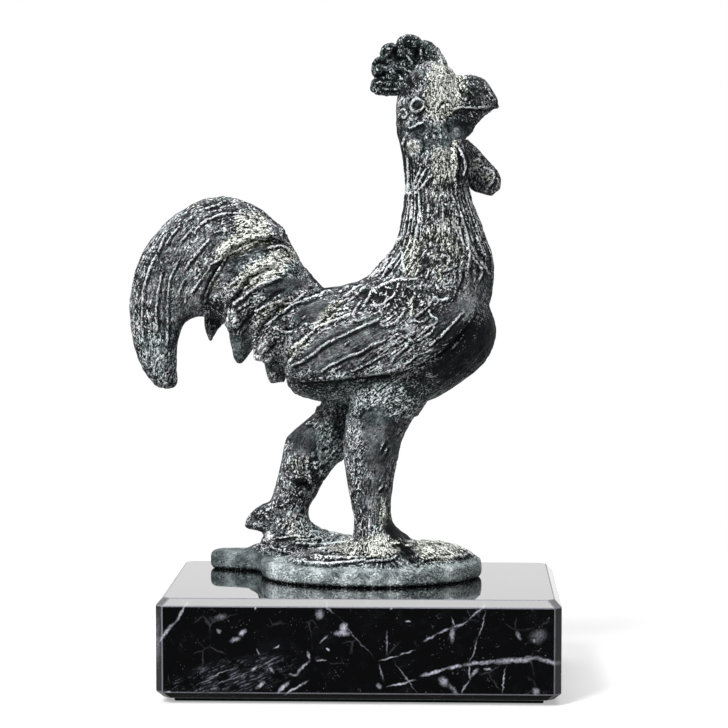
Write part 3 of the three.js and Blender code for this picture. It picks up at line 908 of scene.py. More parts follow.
    def patch(self, zone: Zone) -> None:
        """Adds to one mark inside a soft oval, seen from the side.

        Args:
            zone: The oval, its mark and amount.
        """
        offset = self.points[:, [0, 2]] - np.array(zone.centre)
        turn = math.radians(zone.turn)
        along = offset[:, 0] * math.cos(turn) + offset[:, 1] * math.sin(turn)
        across = offset[:, 1] * math.cos(turn) - offset[:, 0] * math.sin(turn)
        away = np.hypot(along / zone.reach[0], across / zone.reach[1])
        ragged = 0.16 * lattice_noise(self.points, 2.6, 71)
        amount = zone.amount * (1.0 - ramp(away + ragged, 0.55, 1.15))
        if zone.side is not None:
            amount *= ramp(zone.side.value * self.points[:, 1], -1.0, 2.0)
        self.marks[zone.mark] += amount

    def write_marks(self, grain: GrainField) -> None:
        """Stores the marks and the grain's lie on the mesh, where the finish reads them.

        Args:
            grain: The lie of its grain.
        """
        for mark, values in self.marks.items():
            layer = self.mesh.attributes.new(mark.value, "FLOAT", "POINT")
            layer.data.foreach_set("value", values.astype(np.float32))
        layer = self.mesh.attributes.new(LIE, "FLOAT_VECTOR", "POINT")
        layer.data.foreach_set("vector", grain.lie(self.points).astype(np.float32).ravel())


class GrainField:
    """The lie of the surface's grain, as two coordinates that run along and across the feathers."""

    def __init__(self, guides: Sequence[Path], lines: Sequence[Stroke], tight: Sequence[Zone]) -> None:
        """Works the coordinates out on a grid seen from the side.

        Args:
            guides: Lines that set the main directions, from the head towards the tail and the feet.
            lines: The carved lines, which set the directions near them.
            tight: Places where the grain is less drawn out.
        """
        self.low = np.array([-52.0, -3.0])
        self.pitch = 1.0
        shape = (96, 118)
        spots = np.stack(np.meshgrid(*(np.arange(n) * self.pitch for n in shape), indexing="ij"), axis=-1)
        spots = spots.reshape(-1, 2) + self.low
        main = self.direction(spots, guides, 3.0)
        near = self.direction(spots, [line.path for line in lines if line.pale > 0], 0.8, main)
        heading = main + 1.5 * near
        heading /= np.maximum(np.hypot(*heading.T), 1e-6)[:, None]
        draw = np.full(len(spots), 3.2)
        for zone in tight:
            away = np.hypot(*((spots - np.array(zone.centre)) / np.array(zone.reach)).T)
            draw -= zone.amount * (1.0 - ramp(away, 0.6, 1.2))
        along = heading / np.maximum(draw, 1.0)[:, None]
        across = np.stack([-heading[:, 1], heading[:, 0]], axis=1)
        self.layers = [self.solved(wanted.reshape(*shape, 2)) for wanted in (along, across)]

    def direction(
        self, spots: np.ndarray, paths: Sequence[Path], soft: float, like: np.ndarray | None = None
    ) -> np.ndarray:
        """The paths' mean direction round each spot, at most 1 long.

        Args:
            spots: The spots, one row each.
            paths: The paths.
            soft: How near a path must be for its direction to rule.
            like: Directions that the paths are turned round to agree with.

        Returns:
            One direction for each spot.
        """
        total = np.zeros_like(spots)
        mass = np.full(len(spots), 1e-4 if like is None else 0.02)
        for path in paths:
            curve = rounded_path(path)
            for start, end in zip(curve[:-1], curve[1:]):
                run = end - start
                offset = spots - (start + end) / 2
                share = np.hypot(*run) / ((offset**2).sum(axis=1) + soft**2) ** 1.5
                way = run / max(float(np.hypot(*run)), 1e-6)
                sign = 1.0 if like is None else np.where(like @ way < 0, -1.0, 1.0)
                total += (share * sign)[:, None] * way
                mass += share
        return total / mass[:, None]

    def solved(self, wanted: np.ndarray) -> np.ndarray:
        """The grid of values whose slopes come nearest to the wanted ones.

        Args:
            wanted: The slope along each axis, at every grid point.

        Returns:
            The values.
        """
        slope_x = (wanted[1:, :, 0] + wanted[:-1, :, 0]) / 2 * self.pitch
        slope_z = (wanted[:, 1:, 1] + wanted[:, :-1, 1]) / 2 * self.pitch

        def spread(by_x: np.ndarray, by_z: np.ndarray) -> np.ndarray:
            """Adds each slope to the point after it and takes it from the one before.

            Args:
                by_x: The slopes along x.
                by_z: The slopes along z.

            Returns:
                The sums at the points.
            """
            out = np.zeros(wanted.shape[:2])
            out[1:] += by_x
            out[:-1] -= by_x
            out[:, 1:] += by_z
            out[:, :-1] -= by_z
            return out

        values = np.zeros(wanted.shape[:2])
        rest = spread(slope_x, slope_z)
        step = rest.copy()
        size = (rest**2).sum()
        for _ in range(500):
            pushed = spread(step[1:] - step[:-1], step[:, 1:] - step[:, :-1])
            reach = size / max((step * pushed).sum(), 1e-12)
            values += reach * step
            rest -= reach * pushed
            new_size = (rest**2).sum()
            if new_size < 1e-9:
                break
            step = rest + new_size / size * step
            size = new_size
        return values

    def lie(self, points: np.ndarray) -> np.ndarray:
        """The grain's coordinates at points of the figure: along it, across it, and through the bird.

        Args:
            points: The points.

        Returns:
            One row of coordinates for each.
        """
        place = (points[:, [0, 2]] - self.low) / self.pitch
        limit = np.array(self.layers[0].shape) - 1.001
        place = np.clip(place, 0.0, limit)
        corner = place.astype(int)
        part = place - corner
        found = []
        for layer in self.layers:
            mix = np.zeros(len(points))
            for i, j in ((0, 0), (1, 0), (0, 1), (1, 1)):
                share = np.abs(1 - i - part[:, 0]) * np.abs(1 - j - part[:, 1])
                mix += share * layer[corner[:, 0] + i, corner[:, 1] + j]
            found.append(mix)
        return np.stack([*found, points[:, 1]], axis=1)


def read_array(items: object, name: str, width: int, kind: type = float) -> np.ndarray:
    """Reads one property of every item of a Blender collection.

    Args:
        items: The collection.
        name: The property.
        width: How many numbers it has.
        kind: The number type.

    Returns:
        One row for each item.
    """
    flat = np.empty(len(items) * width, dtype=np.float32 if kind is float else np.int32)
    items.foreach_get(name, flat)
    return flat.reshape(-1, width).astype(kind)


@dataclass
class Nearest:
    """How points lie to a path: distance, offset, place along it, its length and which side."""

    distance: np.ndarray
    off_x: np.ndarray
    off_z: np.ndarray
    along: np.ndarray
    left: np.ndarray
    length: float = 0.0


def nearest(across: np.ndarray, up: np.ndarray, path: np.ndarray) -> Nearest:
    """Measures points against a path.

    Args:
        across: The points' first coordinates.
        up: Their second ones.
        path: The path's points.

    Returns:
        How each point lies to the nearest place on the path.
    """
    count = len(across)
    best = Nearest(np.full(count, np.inf), *(np.zeros(count) for _ in range(3)), np.zeros(count, bool))
    for (x1, z1), (x2, z2) in zip(path[:-1], path[1:]):
        dx, dz = x2 - x1, z2 - z1
        length = math.hypot(dx, dz)
        if length < 1e-6:
            continue
        share = np.clip(((across - x1) * dx + (up - z1) * dz) / length**2, 0.0, 1.0)
        off_x, off_z = across - x1 - share * dx, up - z1 - share * dz
        distance = np.hypot(off_x, off_z)
        closer = distance < best.distance
        best.distance = np.where(closer, distance, best.distance)
        best.off_x = np.where(closer, off_x, best.off_x)
        best.off_z = np.where(closer, off_z, best.off_z)
        best.along = np.where(closer, best.length + share * length, best.along)
        best.left = np.where(closer, dx * off_z - dz * off_x > 0, best.left)
        best.length += length
    return best


def placed(name: str, data: object) -> Object:
    """A new object in the scene."""
    made = bpy.data.objects.new(name, data)
    bpy.context.scene.collection.objects.link(made)
    return made


def new_piece(name: str, mesh: Mesh, material: Material, slot: str, *nodes: str) -> Object:
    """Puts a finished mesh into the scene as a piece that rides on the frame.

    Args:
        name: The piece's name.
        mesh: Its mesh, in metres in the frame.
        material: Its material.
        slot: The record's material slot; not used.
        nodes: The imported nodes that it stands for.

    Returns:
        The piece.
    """
    mesh.name = name
    mesh.materials.clear()
    mesh.materials.append(material)
    piece = placed(name, mesh)
    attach(piece, "root")
    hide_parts(*nodes)
    log.info("%s: %d faces, stands for %s", name, len(mesh.polygons), ", ".join(nodes))
    return piece


def remeshed(points: np.ndarray, triangles: np.ndarray, voxel: float) -> Mesh:
    """One even skin round closed forms that may overlap.

    Args:
        points: The forms' points in millimetres.
        triangles: Their triangles.
        voxel: The skin's pitch.

    Returns:
        The skin's mesh, in millimetres.
    """
    rough = bpy.data.meshes.new("rough_casting")
    rough.from_pydata(points.tolist(), [], triangles.tolist())
    carrier = placed("rough_casting", rough)
    remesh = carrier.modifiers.new("even skin", "REMESH")
    remesh.mode = "VOXEL"
    remesh.voxel_size = voxel
    remesh.adaptivity = 0.0
    graph = bpy.context.evaluated_depsgraph_get()
    skin = bpy.data.meshes.new_from_object(carrier.evaluated_get(graph))
    bpy.data.objects.remove(carrier)
    bpy.data.meshes.remove(rough)
    return skin


def welded(node: Object) -> tuple[np.ndarray, np.ndarray]:
    """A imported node's points and triangles with the doubled points joined.

    Args:
        node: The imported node.

    Returns:
        Its points in metres, and its triangles.
    """
    bm = bmesh.new()
    bm.from_mesh(node.data)
    bmesh.ops.remove_doubles(bm, verts=bm.verts, dist=1e-7)
    bmesh.ops.triangulate(bm, faces=bm.faces)
    bm.verts.index_update()
    points = np.array([v.co[:] for v in bm.verts])
    triangles = np.array([[v.index for v in f.verts] for f in bm.faces], dtype=np.int64)
    bm.free()
    return points, triangles


@dataclass
class FigureFrame:
    """Where the figure's own frame lies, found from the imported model.

    Attributes:
        origin: The frame's origin, in millimetres.
    """

    origin: np.ndarray = field(init=False)

    def __post_init__(self) -> None:
        """Reads the plinth's top and the comb's middle plane."""
        comb_low, comb_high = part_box("comb")
        plinth_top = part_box("marble_plinth")[1][2]
        middle = (comb_low[1] + comb_high[1]) / 2
        self.origin = np.array([0.0, middle / MM, plinth_top / MM])

    def inwards(self, metres: np.ndarray) -> np.ndarray:
        """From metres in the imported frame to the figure's millimetres."""
        return metres / MM - self.origin

    def outwards(self, mesh: Mesh) -> None:
        """Moves a mesh from the figure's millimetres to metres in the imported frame.

        Args:
            mesh: The mesh.
        """
        points = read_array(mesh.vertices, "co", 3)
        mesh.vertices.foreach_set("co", ((points + self.origin) * MM).ravel())
        mesh.update()


@dataclass
class Plumage:
    """The carved feathers, as lines and feather edges seen from the bird's right."""

    quills: tuple[Stroke, ...] = (
        *drawn((-1.7, 55.6, -4.1, 54.5, -6.7, 53.6, -9.3, 52.2, -11.3, 50.2, -13.9, 48.3), width=0.27),
        *drawn(
            (4.1, 54.5, 1.3, 53.4, -1.7, 52, -4.9, 50.4, -7.5, 49.1, -9.3, 47.5, -11.5, 46, -14.4, 44.6),
            width=0.3,
        ),
        *drawn(
            (5, 50.8, 4.7, 50.2, 2.1, 49.1, -0.1, 47.7, -2.5, 46.9, -4.9, 45.6, -6.3, 45, -8.1, 43.5),
            width=0.28,
        ),
        *drawn(
            (5.5, 47.6, 3.7, 46.8, 1.3, 45.4, -1.1, 44.2, -2.3, 43.8),
            (20.7, 55.8, 18.3, 53.4, 15.9, 50.8, 13.5, 49), (15.7, 54.2, 13.1, 52.2, 10.7, 50.4),
            (15.1, 53.2, 13.9, 51.6, 12.3, 50.6, 11.1, 49.9), (9.9, 49.6, 7.9, 47.8, 6.7, 46.6, 5.9, 45.4),
            (11.9, 47.8, 11.1, 47, 8.7, 45.2),
        ),
        *drawn((9.9, 49.8, 7.7, 49), (-2.1, 50, -3.3, 49), (-3.3, 45.2, -5.3, 44.2), width=0.2),
        *drawn((-8.1, 42.5, -7.7, 42.5), width=0.34),
        *drawn((21.5, 52.2, 20.3, 50.6, 17.9, 48), width=0.2, pale=0.7),
        *drawn((17.5, 49.2, 15.9, 47.8, 14.3, 46.4), width=0.2, pale=0.8),
    )
    coverts: tuple[Stroke, ...] = (
        *drawn(
            (0.8, 58.2, -0.3, 57.4, -1.1, 56.2, -1.4, 54.8, -0.5, 54, 0.5, 54.2),
            (-0.5, 56, 1.3, 57.8, 1.8, 59, 2.5, 60.2, 5.5, 61.6, 7.9, 62.2, 12.3, 62.3),
            (3.7, 53.8, 4.5, 53.1, 5.9, 53.2, 7.1, 54, 8.1, 55, 8.7, 56.2, 9.7, 56.7),
            width=0.27,
        ),
        *drawn(
            (1.5, 57.4, 2.7, 57, 4.1, 57.2, 6.1, 58.6, 7.1, 59.8, 7.7, 62), (4.1, 56.4, 5.3, 57, 6.1, 57.8),
            (13.5, 56.6, 13.9, 55.4, 14.9, 54.6, 15.7, 54.2),
            (13.7, 55, 13.1, 54.2, 11.9, 53.8, 11.1, 54.2), (11.7, 64.6, 11.1, 63.6, 10.7, 62.8),
            (12.7, 64.4, 13.5, 64.2, 13.3, 63, 12.7, 62.2),
        ),
        *drawn(
            (8.7, 57.4, 9.9, 57.6), (7.3, 57.8, 7.5, 56.4), (5.9, 55.6, 6.7, 56.4), (11.9, 49, 11.5, 48.2),
            (14.7, 61.6, 15.3, 60.6, 15.9, 59.6), (2.3, 59.4, 2.9, 60.2), (3.9, 58.8, 4.3, 60),
            (8.7, 60.2, 8.3, 58.6), (9.9, 60.6, 10.5, 59.8),
            width=0.2,
        ),
        *drawn((10.7, 58.2, 10.3, 56.6, 10.3, 54.6), width=0.4, pale=0.9),
        *drawn(
            (10.7, 54.8, 11.9, 55.6, 13.7, 57.2, 14.9, 58.6, 15.5, 58.2, 16.9, 58.2, 18.1, 58.6),
            width=0.26,
        ),
        *drawn((11.1, 49.8, 9.1, 50.6, 7.9, 51.2, 6.7, 51.4), width=0.34, pale=0.9),
        *drawn(
            (19.7, 64.4, 20.1, 62.8, 19.5, 61, 18.5, 58.6, 18.7, 57.4),
            (16.1, 63.8, 17.7, 64.2, 19.9, 65.4),
            pale=0.85,
        ),
        *drawn((12.1, 61.6, 11.9, 59.8), width=0.22),
    )
    tail_lines: tuple[Stroke, ...] = (
        *drawn(
            (-40.1, 71.4, -41.3, 68.2, -42.8, 65.6, -44, 62.5, -44.7, 59.5, -45.1, 56.3, -45.2, 52.8,
             -44.9, 49.4),
            (-36.8, 73, -38.9, 71, -40.3, 68.6),
            (-40.9, 63.8, -41.3, 61.1, -41.9, 58.1, -42.2, 54.8, -42, 50.6),
            (-20.4, 74.1, -22.2, 74.7, -24.1, 75.3, -27.3, 75.4, -30.5, 74.5, -32.8, 73.1, -34.6, 71),
            (-34.4, 72.2, -36.4, 70.2, -37.3, 69), (-30.8, 70.5, -32.8, 68.2, -34.6, 66, -36.1, 63.6),
            (-35.9, 62.3, -36.6, 61.3, -37.5, 58.5),
            (-28.1, 66.4, -30.6, 64.8, -32.4, 62.3, -34.5, 59.7, -34.9, 58.7),
            (-27.5, 78.1, -30.1, 76.9, -32.6, 76.1), (-34.2, 74.9, -35.4, 74.1),
            (-19.8, 68, -18.2, 68.5, -16.4, 68.7, -15.1, 68, -13, 66.5),
            (-27.2, 60.4, -25.9, 61.5, -24.7, 62.4),
            (-22.1, 55.2, -20.5, 56.1, -18, 57.3, -16.4, 57.6, -15.5, 57.1, -14, 57.5, -11.7, 59.1),
            (-21.3, 47.4, -20.5, 48.4, -19.7, 49.2), (-20.7, 46.4, -19.9, 47.6),
        ),
        *drawn(
            (-37.1, 66, -38.3, 64, -39.1, 61.9, -39.7, 58.3, -39.8, 55.2, -39.8, 52.4, -40.2, 47.8),
            (-27.3, 67, -29.4, 63.4, -31.6, 59.5, -32.7, 56.3),
            pale=0.9,
        ),
        *drawn(
            (-28.5, 72, -30.4, 71.4), (-35.9, 58.3, -36.3, 56.9), (-17.1, 70, -15.7, 69.8, -13.5, 67.8),
            (-12.4, 54.1, -11, 54.8), (-11.7, 53, -10.2, 53.2), (-16.5, 51, -14.6, 51.4, -13.3, 51.6),
            width=0.2,
        ),
        *drawn(
            (-27.7, 66.9, -25.2, 68, -22.7, 69.1, -20.9, 69.8),
            (-26.6, 56.5, -23.6, 58.8, -20.9, 60.8, -19.1, 61.5, -16, 62.6),
            width=0.34,
        ),
        *drawn((-26.1, 55, -24.8, 56.1, -22.5, 57.5), pale=0.85),
        *drawn(
            (-20.1, 52.3, -17.3, 54.3, -14.6, 56.6, -12.8, 57.5, -9.7, 58.4, -7.2, 59.5, -6.1, 59.8),
            width=0.3,
        ),
    )
    sickle_edges: tuple[Path, ...] = (
        route(-33.2, 55.4, -32.6, 58.4, -30.8, 62.8, -28, 66.6, -25, 68.8, -20.4, 70.3, -15, 70),
        route(-26.8, 52, -27.7, 53.8, -27.6, 56, -25.6, 59, -23.4, 62, -20.2, 64, -17, 65),
        route(-14.6, 59.8, -17.7, 58.2, -20.3, 56.2, -22.4, 54.1, -24.4, 51.7, -26, 51, -27.4, 51.8),
        route(-20.4, 45.6, -21.8, 46.2, -22.1, 48.6, -20.6, 52.4, -17.6, 56, -14.6, 58.2),
        route(-11.6, 52.6, -14.2, 51.6, -16.4, 49.6, -18.3, 47.2, -19.9, 45.4, -21.2, 45.8),
    )
    wing_edge: Path = route(
        -12.4, 48.6, -14.4, 45.4, -15, 43.4, -12.4, 41.8, -7.8, 41.9, -2.2, 42.6, 2.9, 43.3, 8, 44,
        13.3, 46.3, 16.1, 48.4, 19.1, 51, 21.9, 53.9, 23.4, 56.6,
    )
    shoulder_edge: Path = route(2, 61, -3.5, 58, -8.2, 54, -11.6, 50.2)
    mantle: tuple[Stroke, ...] = (
        *drawn(
            (20.1, 75.5, 21.1, 71.7, 22.3, 68.5, 24.7, 64.9, 26.3, 62.5),
            (8.3, 68.1, 8.3, 66.5, 8.5, 64.9, 8.7, 62.9), (11.4, 73.3, 10.8, 69.7, 10.6, 66.5),
            (9.2, 86.9, 9.4, 84.1, 9.4, 81.3, 9, 78.9), (13.6, 77.7, 13.5, 75.3), (16.3, 78.1, 16.5, 74.1),
            width=0.3,
        ),
        *drawn(
            (17.9, 74.1, 19.3, 71.7, 20.7, 69.3, 22.7, 66.5, 24.7, 63.7),
            (23, 72, 24, 69, 25.5, 66), (24.7, 64.1, 24.3, 62.9, 23.5, 61.5),
            (9.1, 70.9, 8.5, 68.9), (7, 70.1, 5.4, 66.9, 3.4, 64.1, 0.8, 62.1, -3.2, 60.5),
            (7.8, 70.5, 5.8, 68.1, 4.4, 64.5, 2.2, 62.1), (6.6, 66.9, 5.4, 64.3, 3.8, 62.7),
            (12, 84.9, 11.2, 82.9, 10, 80.1), (8.6, 91.1, 8.2, 88.9),
        ),
        *drawn(
            (-0.2, 61.1, -1.8, 59.9, -4.4, 58), (-2.2, 60.9, -5, 59.3), (1.2, 60.9, -0.6, 59.5, -3, 57.2),
            (-5, 61.1, -7.8, 60.7),
            width=0.2,
        ),
        *drawn(
            (13.2, 84.9, 12.6, 83.7, 11, 80.9, 9.2, 78.9), (14.2, 83.3, 12.6, 81.3, 10.2, 78.9),
            width=0.27,
        ),
        *drawn(
            (13, 91.3, 13.2, 90.1), (10, 78.5, 10, 76.1, 9.8, 73.7), (11.6, 78.9, 11.7, 75.3, 11.5, 72.9),
            width=0.34,
        ),
    )

    curls: tuple[tuple[Zone, float], ...] = (
        (Zone(Mark.GROOVE, (6.5, 58.6), (6.6, 3.6), 1.0), 1.9),
        (Zone(Mark.GROOVE, (13.4, 57.4), (3.4, 4.0), 0.7), 1.7),
        (Zone(Mark.GROOVE, (16.2, 68.6), (5.0, 4.0), 0.8), 1.7),
        (Zone(Mark.GROOVE, (13.0, 64.5), (5.0, 3.0), 0.6), 1.5),
    )

    def all_lines(self) -> tuple[Stroke, ...]:
        """Every drawn line."""
        return (*self.quills, *self.coverts, *self.tail_lines, *self.mantle)


@dataclass
class HeadCarving:
    """The carved marks of the head: eye, brow, ear, gape and beak."""

    eye: Point2 = (11.2, 97.1)
    eye_ring: float = 1.22
    ear: Point2 = (10.5, 89.2)
    lines: tuple[Stroke, ...] = (
        *drawn((9.2, 93.3, 9.8, 92.7, 11.2, 93.3, 13, 93.9), width=0.34),
        *drawn((7.8, 95.7, 8.4, 96.5, 9.2, 95.5, 8.4, 94.7, 7.8, 95.7), width=0.2),
        *drawn((15.8, 97.9, 17, 98.3), width=0.3),
        *drawn((13.8, 97.3, 15, 98.1)),
        *drawn(
            (17, 94.8, 18.2, 95.8, 20, 96.7, 21.8, 96.8, 23.8, 96.7, 26.4, 97), (21.4, 98.8, 20.6, 98),
            (17.8, 89.7, 19.4, 88.9, 20.6, 86.9),
            width=0.24,
        ),
        *drawn((20.8, 100.6, 21.6, 100.2), width=0.34, pale=0.8),
        *drawn((25.2, 101.2, 26.2, 99, 26.8, 97.8), width=0.34, pale=0.7),
        *drawn((17, 98.4, 16, 97.2, 15.6, 95.6, 16.2, 94), width=0.3, height=-0.4, pale=0.0),
        *drawn(
            (16.8, 94, 18.2, 95, 20.2, 95.9, 22.6, 96.2, 24.7, 96.3, 27.3, 96.6),
            width=0.36, height=-0.4, pale=0.0,
        ),
        *drawn(
            (19.6, 102.4, 19.6, 100.8, 20.4, 99.6, 20.2, 98.2, 19, 97.2),
            width=0.3, height=-0.3, pale=0.0,
        ),
        *drawn((20.2, 97.5, 22.2, 97.3, 24.7, 97.2), width=0.2, height=-0.2, pale=0.0),
        *drawn(
            (24, 102.4, 24.9, 100.2, 25.6, 98.2), (19.8, 102.2, 21.8, 102.3, 24.2, 102.2),
            width=0.3, height=-0.1, pale=0.0,
        ),
        *drawn((16.6, 93.6, 17.6, 92.6, 18.2, 91.4), width=0.5, height=-0.3, pale=0.0),
        *drawn((8.4, 88.6, 9, 87.4, 9.2, 86.6), width=0.4, height=-0.2, pale=0.0),
        *drawn((12.2, 90.6, 12.5, 89, 12, 87.4, 11.6, 85.4), width=0.26, height=-0.2, pale=0.0),
        *drawn((14.4, 91.6, 14.8, 90.4), width=0.26),
    )


@dataclass
class GroundCarving:
    """The scored ground under the bird, and the marks on its legs."""

    edge: tuple[Stroke, ...] = (
        *drawn(
            (-19.6, 6.1, -17, 5.3, -14, 4.8, -10, 4.6, -6, 4.7, -2, 5.2, 2.4, 5.6, 6.4, 5.8, 7.4, 6.9),
            (-12, 5.8, -6, 5.6, 0, 6, 4, 6.7), (-14.4, 7, -8, 6.6, -3, 7), (-18.8, 7.6, -14, 8.4, -11, 7.8),
        ),
        *drawn(
            (-19.6, 5.6, -17, 4.8, -14, 4.3, -10, 4.1, -6, 4.2, -2, 4.7, 2.4, 5.1, 6.4, 5.3),
            width=0.26, height=-0.3, pale=0.0,
        ),
        *drawn(
            (7.8, 7.1, 9.2, 6.1, 10.4, 5.1, 11.6, 4.1, 12.6, 4.9, 16, 5.1, 19.6, 4.7, 22.4, 4.6),
            width=0.22, height=-0.3, pale=0.0,
        ),
        *drawn((12.6, 5.4, 16, 5.6, 19.6, 5.2, 22.4, 5.1), width=0.2, pale=0.8),
        *drawn((-28.5, 7.5, -25.1, 7.7, -20.4, 7.7), width=0.2, height=-0.3, pale=0.0),
        *drawn((5.2, 12.1, 6.8, 10.1, 8.4, 8.1, 10, 6.1), width=0.8, height=0.1, pale=0.0),
    )
    near_leg: tuple[Stroke, ...] = (
        *drawn(
            (4.7, 20.5, 3.1, 19.3), (6.7, 22.2, 5.1, 20.1), (5.5, 28.7, 4.5, 26.2), (0.3, 36.5, -0.6, 34.3),
            (2.3, 37, 1.1, 35.9), (-0.1, 32.7, 0.7, 33.1), (1.1, 12.2, 0.3, 10.8),
            (-1.8, 19.3, -0.2, 19.7, 1.1, 18.1),
        ),
        *drawn((4.9, 29.9, 3.7, 27.4), (-0.6, 11.6, -1, 9.5), width=0.3),
        *drawn((4.1, 18.1, 4.7, 15.7, 5.1, 13.2), width=0.34),
    )
    far_leg: tuple[Stroke, ...] = (
        *drawn(
            (-12.2, 25.1, -11.4, 23.4, -11.8, 22.2, -11.2, 20.5, -10.8, 18.6), (-13.5, 22.2, -13.1, 23.8),
            width=0.34,
        ),
        *drawn(
            (-10.6, 23, -9.3, 23.8), (-15.1, 21.1, -13.7, 21.7, -12.2, 21.3, -11.4, 20.1),
            (-15.6, 17.6, -13.9, 16.7, -12.7, 17.1), (-9.3, 26.3, -7.7, 27),
            (-17, 7.5, -16.6, 10, -15.2, 11.3), (-15.1, 15.9, -16.4, 14.6, -18.1, 14.2),
        ),
        *drawn((-14.8, 20.4, -13.6, 19.2, -12.2, 18.8, -11.6, 19.6), width=0.5, height=-0.5, pale=0.0),
        *drawn((-12.2, 31.1, -10.5, 32.2), (-13.1, 11.1, -12.5, 9.2, -11.6, 7.5, -11, 5.9), width=0.3),
    )


